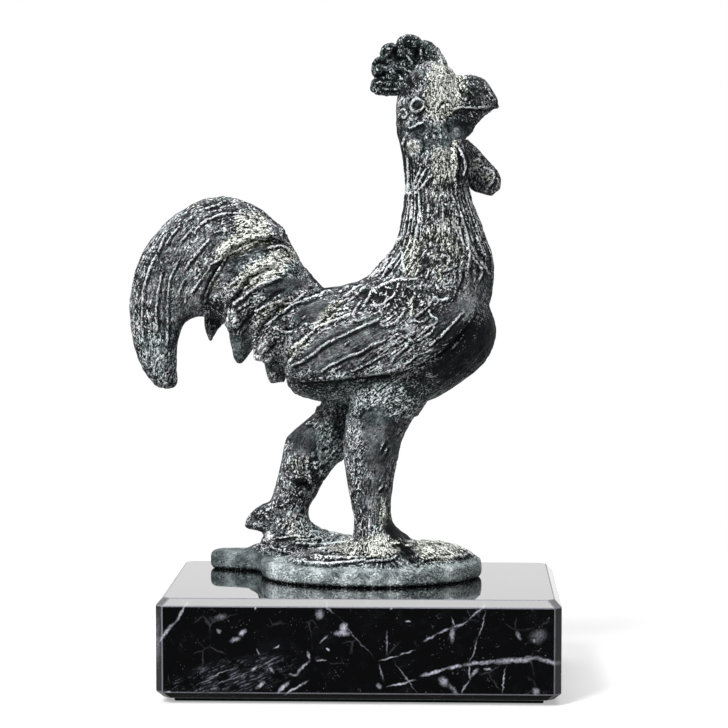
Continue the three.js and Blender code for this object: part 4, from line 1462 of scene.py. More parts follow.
@dataclass
class Castings:
    """The bronze castings, from their packed forms to the dressed pieces.

    Attributes:
        voxel: The skin's pitch.
        tail_joint: The x of the tail's joint. The other joints and the collar, where the skin is cut
            in two, are heights.
        collar_back: The x that the collar's cut starts at.
        overlap: How far the cut ends are run into each other.
        hackles: How many strands go round the neck.
        studs: The studs' places in x and y.
        neck_sections: Height, middle, half length and half width of the neck's sections.
        guides: Lines that the grain follows.
        tight: Where the grain is less drawn out.
        zones: Where the marks are stronger or weaker, painted shade among them.
    """

    place: FigureFrame
    finish: AgedBronze
    plumage: Plumage = field(default_factory=Plumage)
    head: HeadCarving = field(default_factory=HeadCarving)
    ground: GroundCarving = field(default_factory=GroundCarving)
    voxel: float = 0.25
    tail_joint: float = -16.6
    hip_joint: float = 34.6
    ankle_joint: float = 8.6
    collar: float = 66.0
    collar_back: float = -3.0
    overlap: float = 0.45
    ground_lines_top: float = 12.5
    leg_lines_top: float = 40.0
    hackles: int = 46
    studs: tuple[Point2, ...] = ((2.6, -6.6), (-14.6, 6.9))
    tap_reach: float = 3.0
    tap_top: float = 5.6
    neck_sections: tuple[tuple[float, ...], ...] = (
        (53, 11.7, 10.3, 9), (58, 12, 13.6, 10.6), (63, 14.4, 12.6, 10.4), (67, 15.8, 10.8, 9.6),
        (70, 16.1, 9.4, 8.7), (73.5, 15.9, 8.1, 8), (77.4, 15.5, 7.1, 7.2), (81, 15.1, 6.4, 6.6),
        (85, 14.6, 6.2, 6.3), (88.2, 14.2, 6.4, 6), (94, 14.2, 7.4, 5.4),
    )
    guides: tuple[Path, ...] = (
        route(14, 105, 13, 98, 12, 92),
        route(20, 101, 24, 99.5, 27, 98),
        route(9, 90, 9.6, 82, 9, 76, 5, 68, -2, 61.5, -10, 56),
        route(14.5, 90, 14.6, 80, 14.2, 70, 11, 62),
        route(19.5, 88, 21, 76, 25, 66, 27, 58, 26, 50, 20, 43, 10, 38),
        route(20, 60, 10, 53, 0, 49, -14, 44),
        route(-12, 66, -21, 72, -30, 73, -38, 68, -42, 60, -42, 50, -40, 44),
        route(-14, 60, -21, 59, -27, 54),
        route(-12, 55, -18, 51, -21, 47),
        route(3, 38, 2, 26, 2, 14, 1, 9),
        route(-6, 37, -13, 30, -13, 22, -15, 14, -12, 9),
        route(4, 7, 12, 6, 24, 4),
        route(4, 6, -10, 4.5, -24, 4),
        route(4, 2, -24, 2),
    )
    tight: tuple[Zone, ...] = ovals(
        Mark.CALM,
        (14, 96, 9, 12, 2.1), (7, 106, 9, 7, 2.1), (22, 85, 6, 6, 1.6),
        (12, 58, 12, 7, 1.4), (2, 34, 14, 8, 1.6), (-14, 12, 9, 12, 1.2),
        (16, 6, 9, 5, 1.6),
    )
    zones: tuple[Zone, ...] = (
        *ovals(
            Mark.BLOOM,
            (17, 102, 4, 5.5, 1.3, 35), (16, 97.5, 4, 4.5, 0.9), (16.6, 86, 3, 4.4, 1.2),
            (10.5, 88.9, 1.7, 1.8, 1.3), (15.5, 81, 3.5, 4, 0.4), (10, 66.5, 2, 4.6, 1.2),
            (16.5, 70, 5.6, 8, 0.6), (10.6, 56.5, 1.3, 2.6, 0.9), (-19.6, 64, 8, 2.8, 2.2, 27),
            (-22, 72.4, 5, 3.2, 1.35, -30), (-26, 68.4, 4.8, 2.4, 1.7, 25),
            (-18, 55.6, 6, 1.6, 0.7, 35), (-6.4, 55.2, 4.4, 1.6, 1.1, 48),
            (-12.4, 48.6, 3.4, 1.5, 0.8, 45), (-30, 61.5, 3, 6, 0.4, 30),
            (-1, 8, 15, 2.4, 0.75), (4, 8.6, 3.4, 3, 0.9), (16.4, 7.4, 6.4, 3, 1.5),
            (-12.6, 22.6, 2.6, 3.6, 0.6), (-13.5, 9.6, 3.4, 2.4, 0.7), (4.6, 14.6, 1.4, 4, 0.9),
            (6, 37.6, 7, 3.4, 1),
        ),
        # Painted shade under the chest, belly, beak and wattle, beneath the sickles, beside the toes and
        # spur and along the neck's outline; negative amounts lessen it.
        *ovals(
            Mark.PAINTED_SHADE,
            (17.6, 80.8, 2.4, 0.9, 1.6), (22, 47, 9, 7.5, 2.6, 45), (27, 50, 4, 8, 1.3),
            (12, 40.5, 9, 3, 0.9, 25), (26.4, 61, 2, 9, 0.6), (20.4, 59, 4.4, 6.4, -0.6),
            (0, 50, 17, 6, -0.45, 24), (3, 26, 4.6, 13, -0.4), (9.2, 80, 2.4, 10, 0.6),
            (-27, 54.4, 1.9, 1.8, -1.2), (-20.8, 47.4, 2.4, 2.2, -1.2), (-10, 40.6, 7, 2, 0.9),
            (21.4, 94.8, 4, 2.2, 0.9, 30), (18.6, 90.8, 2.6, 2.6, -0.6), (-42.5, 53, 4, 12, -0.4),
            (-36, 61, 7, 12, -0.45), (22.6, 100.6, 3.4, 3, 0.75), (8.6, 101.4, 2.2, 2.8, 1.8),
            (7.6, 86, 1.6, 9, 1.3), (5.4, 59.4, 5.4, 2.8, 1.1, 10), (6.6, 55.2, 3, 1.8, 0.5),
            (-30.2, 55.4, 2.2, 2.8, 1.5), (-10.4, 19.4, 2.4, 5, 0.9, 20), (-13.4, 19.6, 1.5, 1.3, 2.2),
            (7.6, 9.6, 1.8, 5.4, 1, 38), (-21.8, 12.6, 2.2, 2.4, 1),
        ),
        # Painted shade on the far side's thigh and under its sickles; a negative amount lessens it.
        *ovals(
            Mark.PAINTED_SHADE,
            (-3, 32, 4.4, 5.4, 0.9), (-30.4, 53.6, 3, 3, 1), (-26, 46, 9, 7, -0.5),
            side=Side.LEFT,
        ),
        *ovals(
            Mark.CALM,
            (7.6, 9.6, 1.8, 5.4, 0.8, 38), (19.4, 90.6, 4, 5, 0.9), (3.6, 31, 4.2, 8, 1.2, 12),
            (-12.4, 28.6, 3.4, 4.6, 1.2), (2.4, 20, 3.2, 7, 0.6), (-4, 48.6, 11, 4.4, 1.1, 24),
            (18, 54, 6, 3, 0.9, 42), (21.5, 60, 3.6, 5, 0.5), (-29, 62.6, 2.2, 8, 0.8, -38),
            (-23, 67.4, 5, 1.6, 0.6, 30), (-15.6, 60.4, 5, 1.8, 1.3, 14),
            (-10.4, 55.4, 4.4, 2.2, 1.3, 25), (-32, 70, 5, 4, 0.4), (-38, 60, 6, 14, 0.5),
            (12.6, 91, 3, 3.4, 0.5),
        ),
        *ovals(Mark.CALM, (-26, 46, 9, 7, 1), side=Side.LEFT),
        *ovals(Mark.VERDE, (-26, 46, 9, 7, 1.2), (-6, 27, 5, 7, 1), (-8, 10, 6, 5, 0.9), side=Side.LEFT),
        *ovals(
            Mark.VERDE,
            (0, 38, 16, 5, 1), (19.4, 90.6, 4, 5, 0.9), (13, 90.6, 4, 4.4, 0.6),
            (-41, 47, 6, 6, 0.8), (-18.6, 64, 9, 4, 0.6),
        ),
    )

    def build(self) -> list[Object]:
        """Builds every bronze piece.

        Returns:
            The pieces.
        """
        material = self.finish.material()
        surface = CastSurface(self.fused())
        grain = GrainField(self.guides, self.plumage.all_lines(), self.tight)
        surface.relax(9)
        self.carve(surface)
        self.weather(surface, grain)
        surface.write_marks(grain)
        pieces = self.cut_up(surface.mesh, material)
        head = next(p for p in pieces if p.name == "neck_and_head")
        trim = HeadTrim(self.place, self.voxel * 0.8)
        pieces += trim.build(head.data, material, grain)
        return pieces

    def fused(self) -> Mesh:
        """The main castings in one skin, with the cut ends run into each other.

        Returns:
            The skin, in the figure's millimetres.
        """
        points, triangles, count = [], [], 0
        for name in ("body_casting", "tail_casting", "right_leg", "left_leg", "ground_plate"):
            metres, faces = welded(bpy.data.objects[name])
            form = self.place.inwards(metres)
            self.run_on(form, name)
            points.append(form)
            triangles.append(faces + count)
            count += len(form)
        return remeshed(np.vstack(points), np.vstack(triangles), self.voxel)

    def run_on(self, form: np.ndarray, name: str) -> None:
        """Moves a casting's cut ends past the joint, so that neighbours overlap.

        Args:
            form: The casting's points, changed in place.
            name: The casting.
        """
        for axis, joint in ((0, self.tail_joint), (2, self.hip_joint), (2, self.ankle_joint)):
            if axis == 0 and name not in ("body_casting", "tail_casting"):
                continue
            off = form[:, axis] - joint
            at_joint = np.abs(off) < self.overlap / 2
            form[at_joint, axis] -= np.sign(off[at_joint]) * self.overlap

    def carve(self, surface: CastSurface) -> None:
        """Cuts the feathers, the head and the ground into the skin, then lays on the zones and the painted
        shade round the outline.

        Args:
            surface: The skin.
        """
        for side in Side:
            above_legs = surface.side_chart(side, lambda p: p[:, 2] > self.hip_joint)
            for edge in self.plumage.sickle_edges:
                surface.step(above_legs, edge, 0.75, 3.0)
            surface.step(above_legs, self.plumage.wing_edge, 0.4, 2.2, 0.85)
            surface.step(above_legs, self.plumage.shoulder_edge[::-1], 0.3, 2.0, 0.6)
        surface.apply_lift()
        for side in Side:
            upper = surface.side_chart(side, lambda p: p[:, 2] > self.hip_joint)
            for zone, pitch in self.plumage.curls:
                surface.scales(upper, zone, pitch)
            for stroke in self.plumage.all_lines():
                surface.draw(upper, stroke)
            self.carve_head(surface, upper)
            lower = surface.side_chart(side, lambda p: p[:, 2] < self.ground_lines_top)
            for stroke in self.ground.edge:
                surface.draw(lower, stroke)
            for leg, lines in ((Side.RIGHT, self.ground.near_leg), (Side.LEFT, self.ground.far_leg)):
                chart = surface.side_chart(side, lambda p: self.on_leg(p, leg))
                for stroke in lines:
                    surface.draw(chart, replace(stroke, pale=0.82 * stroke.pale))
        self.comb_hackles(surface)
        self.carve_ground(surface)
        surface.apply_lift()
        for zone in self.zones:
            surface.patch(zone)
        self.paint_outline_shade(surface)

    def on_leg(self, points: np.ndarray, leg: Side) -> np.ndarray:
        """Which points are low enough, and on the right side, to be one leg's."""
        return (points[:, 2] < self.leg_lines_top) & (leg.value * points[:, 1] > 0)

    def paint_outline_shade(self, surface: CastSurface) -> None:
        """Paints shade round the bird's profile, where the skin turns edge-on to the side view, darker than
        its sides.

        Args:
            surface: The skin.
        """
        x, y, z = surface.points.T
        edge_on = 1.0 - ramp(np.abs(surface.normals[:, 1]), 0.1, 0.3)
        middle = np.maximum(1.0 - ramp(np.abs(y), 4.0, 7.0), 1.0 - ramp(z, 30.0, 36.0))
        above = ramp(z, self.ankle_joint, self.ankle_joint + 4.0)
        # Painted shade along the outline.
        surface.marks[Mark.PAINTED_SHADE] += 1.3 * edge_on * middle * above

    def carve_head(self, surface: CastSurface, chart: Chart) -> None:
        """Carves one side of the head, with painted shade round the eye's ring.

        Args:
            surface: The skin.
            chart: That side of it.
        """
        head = self.head
        for stroke in head.lines:
            surface.draw(chart, stroke)
        from_eye = np.hypot(chart.across - head.eye[0], chart.up - head.eye[1])
        ring = bell(from_eye - head.eye_ring, 0.3) * chart.weight
        moat = bell(from_eye - head.eye_ring * 0.6, 0.3) * chart.weight
        rim = bell(from_eye - head.eye_ring * 1.45, 0.28) * chart.weight
        surface.lift[chart.index] += 0.34 * ring - 0.25 * moat - 0.1 * rim
        surface.at_least(Mark.GROOVE, chart.index, ring)
        # Painted shade in the moat and rim round the eye's ring.
        surface.marks[Mark.PAINTED_SHADE][chart.index] += 0.3 * moat + rim
        inside = (from_eye < head.eye_ring * 0.8) * chart.weight
        surface.marks[Mark.CALM][chart.index] += 1.4 * inside
        from_ear = np.hypot(chart.across - head.ear[0], chart.up - head.ear[1])
        surface.lift[chart.index] += 0.35 * (1.0 - ramp(from_ear, 0.4, 1.5)) * chart.weight

    def comb_hackles(self, surface: CastSurface) -> None:
        """Combs the neck feathers down the neck, as long broken strands that follow its form, with painted
        shade between them.

        Args:
            surface: The skin.
        """
        heights, *sizes = np.array(self.neck_sections).T
        x, y, z = surface.points.T
        middle, reach, breadth = (np.interp(z, heights, size) for size in sizes)
        turn = np.arctan2(y / breadth, (x - middle) / reach)
        around = np.stack([np.cos(turn), np.sin(turn), z / 9.0], axis=1)
        sway = 0.9 * lattice_noise(around, 0.45, 5) + 0.5 * lattice_noise(around, 0.16, 6)
        wave = np.cos(self.hackles * turn + 2.0 * sway)
        strand = ramp(wave, 0.2, 0.9)
        broken = ramp(lattice_noise(around * np.array([8.0, 8.0, 1.2]), 1.0, 9), -0.5, -0.1)
        on_neck = ramp(z, 60.5, 64.5) * (1.0 - ramp(z, 83.5, 88.0)) * ramp(x, -4.0, 1.0)
        on_neck *= 1.0 - ramp(np.abs((x - middle) / reach), 1.15, 1.4)
        on_neck *= 0.4 + 0.6 * ramp(np.abs(np.cos(turn)), 0.25, 0.6)
        surface.lift += (0.26 * strand * broken - 0.14) * on_neck
        surface.at_least(Mark.GROOVE, slice(None), 0.95 * strand * broken * on_neck)
        # Painted shade in the troughs between the strands.
        surface.marks[Mark.PAINTED_SHADE] += 1.5 * on_neck * ramp(-wave, -0.1, 0.7)

    def carve_ground(self, surface: CastSurface) -> None:
        """Scores the wavy ground round the feet, with painted shade in its troughs and along the plate's
        bottom edge.

        Args:
            surface: The skin.
        """
        x, y, z = surface.points.T
        low = (1.0 - ramp(z, self.ankle_joint - 0.5, self.ankle_joint + 2.5)) * ramp(z, 4.4, 5.6)
        waves = lattice_noise(surface.points * np.array([0.3, 0.5, 1.7]), 1.0, 21)
        surface.lift += 0.24 * low * waves
        surface.at_least(Mark.GROOVE, slice(None), 0.85 * low * ramp(waves, 0.3, 0.55))
        # Painted shade in the troughs of the waves.
        surface.marks[Mark.PAINTED_SHADE] += 1.3 * low * ramp(-waves, 0.15, 0.5)
        band = (1.0 - ramp(z, 3.6, 5.0)) * ramp(z, 0.1, 0.9)
        tongue = 1.0 - ramp(x, -20.0, -18.0)
        surface.marks[Mark.CALM] += 1.5 * band
        surface.marks[Mark.VERDE] += 2.0 * band
        surface.marks[Mark.BLOOM] += 1.9 * band * (1.0 - 0.5 * tongue)
        # Painted shade along the plate's bottom edge, where it meets the stone.
        surface.marks[Mark.PAINTED_SHADE] += 1.2 * (1.0 - ramp(z, 0.25, 0.8))

    def weather(self, surface: CastSurface, grain: GrainField) -> None:
        """Roughens the skin as a cast and corroded surface, with painted shade in its pits, but not the
        plate's underside or taps.

        Args:
            surface: The skin.
            grain: The lie of its grain.
        """
        x, y, z = surface.points.T
        bare = ramp(z, 0.3, 1.2)
        calm = np.clip(1.0 - 0.7 * surface.marks[Mark.CALM], 0.15, 1.0)
        lie = grain.lie(surface.points)
        lumps = 0.07 * lattice_noise(surface.points, 2.3, 31)
        lumps += 0.12 * lattice_noise(lie, (0.9, 0.8, 0.8), 32)
        lumps += 0.09 * lattice_noise(lie, (0.6, 0.5, 0.5), 33)
        pits = ramp(lattice_noise(surface.points, 0.8, 34), 0.42, 0.75)
        surface.lift += bare * calm * (lumps - 0.2 * pits)
        # Painted shade in the pits.
        surface.marks[Mark.PAINTED_SHADE] += 0.8 * bare * calm * pits
        for stud_x, stud_y in self.studs:
            near_tap = np.hypot(x - stud_x, y - stud_y) < self.tap_reach
            surface.lift[near_tap & (z < self.tap_top)] = 0.0
        surface.apply_lift()
        surface.points[:, 2] = np.maximum(surface.points[:, 2], 0.0)
        surface.measure()

    def region(self, centre: Vector) -> str:
        """The piece that a face belongs to, by its middle.

        Args:
            centre: The face's middle.

        Returns:
            The piece's name.
        """
        if centre.z < self.ankle_joint:
            return "ground_plate_and_feet"
        if centre.z < self.hip_joint:
            return "right_shank" if centre.y < 0 else "left_shank"
        if centre.x < self.tail_joint:
            return "tail_plumes"
        if centre.z > self.collar and centre.x > self.collar_back:
            return "neck_and_head"
        return "torso_and_wings"

    def cut_up(self, mesh: Mesh, material: Material) -> list[Object]:
        """Cuts the carved skin at the joints and closes each piece.

        Args:
            mesh: The whole skin.
            material: The bronze.

        Returns:
            The pieces.
        """
        bm = bmesh.new()
        bm.from_mesh(mesh)
        planes = (
            ((0, 0, self.ankle_joint), (0, 0, 1), lambda c: True),
            ((0, 0, self.hip_joint), (0, 0, 1), lambda c: True),
            ((self.tail_joint, 0, 0), (1, 0, 0), lambda c: c.z > self.hip_joint),
            ((0, 0, self.collar), (0, 0, 1), lambda c: c.x > self.collar_back),
        )
        for point, normal, keep in planes:
            axis = normal.index(1)
            at = point[axis]
            faces = [
                f for f in bm.faces
                if abs(f.calc_center_median()[axis] - at) < 1.0 and keep(f.calc_center_median())
            ]
            edges = {e for f in faces for e in f.edges}
            verts = {v for f in faces for v in f.verts}
            bmesh.ops.bisect_plane(
                bm, geom=[*verts, *edges, *faces], dist=1e-5, plane_co=point, plane_no=normal
            )
        whole = bpy.data.meshes.new("whole_casting")
        bm.to_mesh(whole)
        bm.free()
        normals = read_array(whole.vertex_normals, "vector", 3)
        names = [self.region(p.center) for p in whole.polygons]
        pieces = []
        for name, nodes in BRONZE_PIECES.items():
            chosen = np.array([n == name for n in names])
            part, part_normals = picked(whole, chosen, normals)
            self.place.outwards(part)
            part.normals_split_custom_set_from_vertices(part_normals)
            pieces.append(new_piece(name, part, material, "bronze", *nodes))
        return pieces


BRONZE_PIECES: dict[str, tuple[str, ...]] = {
    "torso_and_wings": ("body_casting",),
    "neck_and_head": ("body_casting",),
    "tail_plumes": ("tail_casting",),
    "right_shank": ("right_leg",),
    "left_shank": ("left_leg",),
    "ground_plate_and_feet": ("ground_plate",),
}


def picked(mesh: Mesh, chosen: np.ndarray, normals: np.ndarray) -> tuple[Mesh, np.ndarray]:
    """A closed mesh of some of a mesh's faces.

    Args:
        mesh: The whole mesh.
        chosen: True for each face to keep.
        normals: The whole mesh's normals, one for each vertex.

    Returns:
        The new mesh, with its cut ends filled, and the normals of its vertices.
    """
    bm = bmesh.new()
    bm.from_mesh(mesh)
    bm.faces.ensure_lookup_table()
    dropped = [bm.faces[i] for i in np.flatnonzero(~chosen)]
    kept_vertices = np.unique(
        np.concatenate([np.array(mesh.polygons[int(i)].vertices[:]) for i in np.flatnonzero(chosen)])
    )
    bmesh.ops.delete(bm, geom=dropped, context="FACES")
    rims = [e for e in bm.edges if e.is_boundary]
    bmesh.ops.holes_fill(bm, edges=rims, sides=0)
    for face in bm.faces:
        face.smooth = True
    part = bpy.data.meshes.new("part")
    bm.to_mesh(part)
    bm.free()
    return part, normals[kept_vertices]


@dataclass
class HeadTrim:
    """The comb and the two wattles, brazed to the head."""

    place: FigureFrame
    voxel: float
    seat: float = 0.5
    seat_reach: float = 2.6
    comb_lines: tuple[Stroke, ...] = (
        *drawn((14.9, 108.5, 17.2, 105.1, 19, 103.1), width=0.34),
        *drawn(
            (6.9, 109.1, 6.9, 107.1, 8.1, 105.9), (2, 102.7, 3.6, 103.1, 5.2, 103.9),
            width=0.5, height=-0.8, pale=0.0,
        ),
        *drawn((2.4, 106.1, 4.4, 105.7, 5.6, 105.1), width=0.45, height=-0.7, pale=0.0),
        *drawn((11.5, 109.7, 11.1, 107.9, 10.3, 106.7), width=0.4, height=-0.6, pale=0.0),
        *drawn((12.5, 109.3, 12.5, 107.1, 13.3, 105.9), width=0.35, height=-0.5, pale=0.0),
        *drawn((7.5, 101.9, 6.1, 102.3, 4.4, 102.3), width=0.4, height=-0.5, pale=0.0),
        *drawn((6.4, 104.6, 7.2, 104, 8, 104.4), width=0.6, height=-0.5, pale=0.0),
        *drawn((10.3, 108.4, 10.6, 108.2), width=0.7, height=-0.5, pale=0.0),
        *drawn((8.5, 107.5, 9.3, 106.9, 10.1, 105.7), width=0.24),
        *drawn((3.6, 100.7, 5.7, 100.5, 7.3, 100.9), (8.7, 110.3, 10.7, 109.9), pale=0.7),
        *drawn((2.4, 101.2, 3.4, 102, 4.6, 101.4), pale=0.8),
        *drawn(
            (13.7, 109.1, 14.5, 107.9), (11.9, 108.9, 11.7, 107.3), (4.8, 108.9, 5.8, 108.3),
            (7.7, 105.1, 9.3, 104.3, 10.1, 102.7), (11.3, 105.9, 10.1, 104.7), (6.9, 103.5, 8.1, 102.7),
            (2.6, 104.8, 3.2, 104.2),
        ),
    )
    near_wattle_lines: tuple[Stroke, ...] = (
        *drawn((17.8, 89.7, 19.4, 88.9, 20.6, 86.9, 21.1, 84.9, 20.7, 82.5)),
        *drawn((19.2, 89, 20.1, 87, 20.3, 84.3, 19.7, 81.7, 18, 80.7), width=0.6, height=-0.5, pale=0.0),
    )
    far_wattle_lines: tuple[Stroke, ...] = (
        *drawn(
            (22.3, 85.8, 23.9, 86.2, 24.6, 85.1),
            (24.4, 83.7, 25.4, 84.5, 26.8, 83.5, 26.6, 81.7, 25.4, 80.5),
        ),
        *drawn((24.8, 82.5, 25.6, 80.9), width=0.3, height=-0.3, pale=0.0),
    )
    far_wattle_lobes: tuple[tuple[Point2, float], ...] = (((23.0, 85.2), 1.6), ((25.6, 82.6), 2.0))

    def build(self, head: Mesh, material: Material, grain: GrainField) -> list[Object]:
        """Builds the comb and the wattles.

        Args:
            head: The head's mesh, which they are seated on.
            material: The bronze.
            grain: The lie of its grain.

        Returns:
            The pieces.
        """
        tree = KDTree(len(head.vertices))
        for i, point in enumerate(self.place.inwards(read_array(head.vertices, "co", 3))):
            tree.insert(point, i)
        tree.balance()
        jobs = (
            ("cast_comb", "comb", self.comb),
            ("right_wattle_lobe", "right_wattle", self.near_wattle),
            ("left_wattle_lobe", "left_wattle", self.far_wattle),
        )
        return [self.trim(name, node, tree, material, grain, carve) for name, node, carve in jobs]

    def trim(
        self, name: str, node: str, head: KDTree, material: Material, grain: GrainField,
        carve: Callable[[CastSurface], None],
    ) -> Object:
        """Builds one piece of trim.

        Args:
            name: The piece's name.
            node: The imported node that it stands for.
            head: The head's points, for seating.
            material: The bronze.
            grain: The lie of its grain.
            carve: What roughens it.

        Returns:
            The piece.
        """
        metres, triangles = welded(bpy.data.objects[node])
        surface = CastSurface(remeshed(self.place.inwards(metres), triangles, self.voxel))
        surface.relax(5)
        carve(surface)
        surface.apply_lift()
        for i, point in enumerate(surface.points):
            there, _, away = head.find(point)
            pull = self.seat * (1.0 - ramp(np.array([away]), 0.3, self.seat_reach)[0])
            if pull > 0 and away > 1e-6:
                surface.points[i] += (np.array(there) - point) / away * pull
        surface.measure()
        surface.write_marks(grain)
        for polygon in surface.mesh.polygons:
            polygon.use_smooth = True
        self.place.outwards(surface.mesh)
        return new_piece(name, surface.mesh, material, "bronze", node)

    def both_sides(self, surface: CastSurface, lines: Sequence[Stroke]) -> None:
        """Draws lines on a piece's two sides.

        Args:
            surface: The piece's surface.
            lines: The lines.
        """
        for side in Side:
            chart = surface.side_chart(side)
            for stroke in lines:
                surface.draw(chart, stroke)

    def comb(self, surface: CastSurface) -> None:
        """Creases, pits and lumps the comb, and darkens it all over, more in the pits, where painted shade
        lies.

        Args:
            surface: The piece's surface.
        """
        self.both_sides(surface, self.comb_lines)
        surface.lift += 0.22 * lattice_noise(surface.points, 1.5, 41)
        surface.lift += 0.16 * lattice_noise(surface.points, 0.7, 42)
        pits = ramp(lattice_noise(surface.points, 1.1, 43), 0.3, 0.7)
        surface.lift -= 0.4 * pits
        # The whole comb is darkened through the painted-shade mark, deepest as painted shade in its pits;
        # less towards its front.
        surface.marks[Mark.PAINTED_SHADE] += 0.7 + 1.5 * pits
        front = ramp(surface.points[:, 0], 13.5, 16.0)
        surface.marks[Mark.BLOOM] += 0.9 * front
        surface.marks[Mark.PAINTED_SHADE] *= 1.0 - 0.8 * front
        surface.marks[Mark.VERDE] += 0.5

    def near_wattle(self, surface: CastSurface) -> None:
        """Hollows the near wattle behind its rim and paints shade there.

        Args:
            surface: The piece's surface.
        """
        self.both_sides(surface, self.near_wattle_lines)
        self.roughen(surface)
        lobe = 1.0 - ramp(surface.points[:, 0], 19.2, 20.0)
        surface.marks[Mark.BLOOM] += 1.1 * lobe
        # Painted shade behind the lobe's rim.
        surface.marks[Mark.PAINTED_SHADE] += 1.2 * (1.0 - lobe)

    def far_wattle(self, surface: CastSurface) -> None:
        """Gives the far wattle its lobes.

        Args:
            surface: The piece's surface.
        """
        self.both_sides(surface, self.far_wattle_lines)
        self.roughen(surface)
        for centre, reach in self.far_wattle_lobes:
            away = np.hypot(surface.points[:, 0] - centre[0], surface.points[:, 2] - centre[1])
            lobe = 1.0 - ramp(away, 0.5 * reach, reach)
            surface.marks[Mark.BLOOM] += 0.6 * lobe
            surface.marks[Mark.PAINTED_SHADE] -= 0.6 * lobe

    def roughen(self, surface: CastSurface) -> None:
        """Roughens a wattle and paints shade on its rim, where it turns edge-on to the side.

        Args:
            surface: The piece's surface.
        """
        surface.lift += 0.1 * lattice_noise(surface.points, 1.3, 51)
        surface.lift += 0.08 * lattice_noise(surface.points, 0.7, 52)
        rim = 1.0 - ramp(np.abs(surface.normals[:, 1]), 0.25, 0.6)
        # Painted shade along the wattle's edge-on rim.
        surface.marks[Mark.PAINTED_SHADE] += 0.6 * rim


@dataclass
class Plinth:
    """The polished stone plinth, with every edge just eased.

    Attributes:
        easing: How far the edges are eased.
        rim: How near the block's outside an edge must be to be eased.
        polished: The finish of the top.
        eased: The finish of the upright corners.
        honed: The finish of the sides and the lower chamfers.
        worn: The finish of the eased edges, pale as if worn and as a painted highlight along them.
    """

    easing: float = 0.16
    rim: float = 2.0
    polished: BlackMarble = field(init=False)
    eased: BlackMarble = field(init=False)
    honed: BlackMarble = field(init=False)
    worn: BlackMarble = field(init=False)

    def __post_init__(self) -> None:
        """Sets the stone's front face for every finish."""
        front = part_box("marble_plinth")[0][1] / MM
        self.polished = BlackMarble("polished_marble_top", front, 1.5, coat=1.0, roughness=0.04)
        self.eased = BlackMarble("polished_marble_corners", front, 1.3)
        self.honed = BlackMarble("polished_marble_sides", front, 1.1)
        # The eased edges get a pale grey body: partly wear, partly a painted highlight along every outer
        # edge.
        self.worn = BlackMarble("worn_highlit_marble_edges", front, 1.5, body=(0.42, 0.42, 0.46), roughness=0.4)

    def build(self) -> Object:
        """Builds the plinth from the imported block.

        Returns:
            The piece.
        """
        bm = bmesh.new()
        bm.from_mesh(bpy.data.objects["marble_plinth"].data)
        bmesh.ops.remove_doubles(bm, verts=bm.verts, dist=1e-7)
        bmesh.ops.dissolve_limit(bm, angle_limit=math.radians(1), verts=bm.verts, edges=bm.edges)
        outer = [e for e in bm.edges if e.calc_face_angle(0) > math.radians(30) and self.is_outer(e)]
        width = self.easing * MM
        bmesh.ops.bevel(
            bm, geom=outer, offset=width, segments=3, affect="EDGES", profile=0.5, clamp_overlap=True
        )
        middle = sum(corner[2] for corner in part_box("marble_plinth")) / 2
        for face in bm.faces:
            square_on = max(abs(face.normal.x), abs(face.normal.y)) > 0.99
            upright = abs(face.normal.z) < 0.1 and square_on
            low = face.calc_center_median().z < middle and face.normal.z < -0.1
            corner = abs(face.normal.z) < 0.3
            eased = min(e.calc_length() for e in face.edges) < width
            face.material_index = 3 if eased else 1 if upright or low else 2 if corner else 0
        mesh = bpy.data.meshes.new("plinth")
        bm.to_mesh(mesh)
        bm.free()
        indices = [p.material_index for p in mesh.polygons]
        piece = new_piece("stone_plinth", mesh, self.polished.material(), "marble", "marble_plinth")
        mesh.materials.append(self.honed.material())
        mesh.materials.append(self.eased.material())
        mesh.materials.append(self.worn.material())
        mesh.polygons.foreach_set("material_index", indices)
        return piece

    def is_outer(self, edge: bmesh.types.BMEdge) -> bool:
        """Whether an edge is on the block's outside, not at a hole.

        Args:
            edge: The edge.

        Returns:
            True if it is.
        """
        low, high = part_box("marble_plinth")
        gaps = ([min(v.co[i] - low[i], high[i] - v.co[i]) for i in (0, 1)] for v in edge.verts)
        return all(min(gap) < self.rim * MM for gap in gaps)


@dataclass
class FeltPad:
    """The felt under the plinth."""

    finish: FeltCloth
    cells: tuple[int, int] = (72, 42)
    soft_edge: float = 0.3

    def build(self) -> Object:
        """Builds the felt as a fine grid with a softened edge.

        Returns:
            The piece.
        """
        low, high = (np.array(corner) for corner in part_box("felt_sheet"))
        size = high - low
        bm = bmesh.new()
        bmesh.ops.create_cube(bm, size=1.0)
        for vertex in bm.verts:
            vertex.co = Vector((low + high) / 2 + np.array(vertex.co) * size)
        for axis, count in enumerate(self.cells):
            for i in range(1, count):
                point = low.copy()
                point[axis] += size[axis] * i / count
                normal = [0.0, 0.0, 0.0]
                normal[axis] = 1.0
                whole = [*bm.verts, *bm.edges, *bm.faces]
                bmesh.ops.bisect_plane(bm, geom=whole, plane_co=point, plane_no=normal)
        edges = [e for e in bm.edges if len(e.link_faces) == 2 and e.calc_face_angle() > 1.0]
        bmesh.ops.bevel(bm, geom=edges, offset=self.soft_edge * MM, segments=2, affect="EDGES", profile=0.6)
        for face in bm.faces:
            face.smooth = True
        mesh = bpy.data.meshes.new("felt")
        bm.to_mesh(mesh)
        bm.free()
        piece = new_piece("felt_underside", mesh, self.finish.material(), "felt", "felt_sheet")
        return piece


@dataclass
class Fixings:
    """Studs, washers and nuts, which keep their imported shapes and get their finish."""

    finish: ZincSteel

    def dress(self) -> None:
        """Gives each fixing its zinc plate."""
        material = self.finish.material()
        for side in ("right", "left"):
            for kind in ("stud", "washer", "nut"):
                node = bpy.data.objects[f"{side}_{kind}"]
                node.data.materials.clear()
                node.data.materials.append(material)
                log.info("%s: zinc plated", node.name)


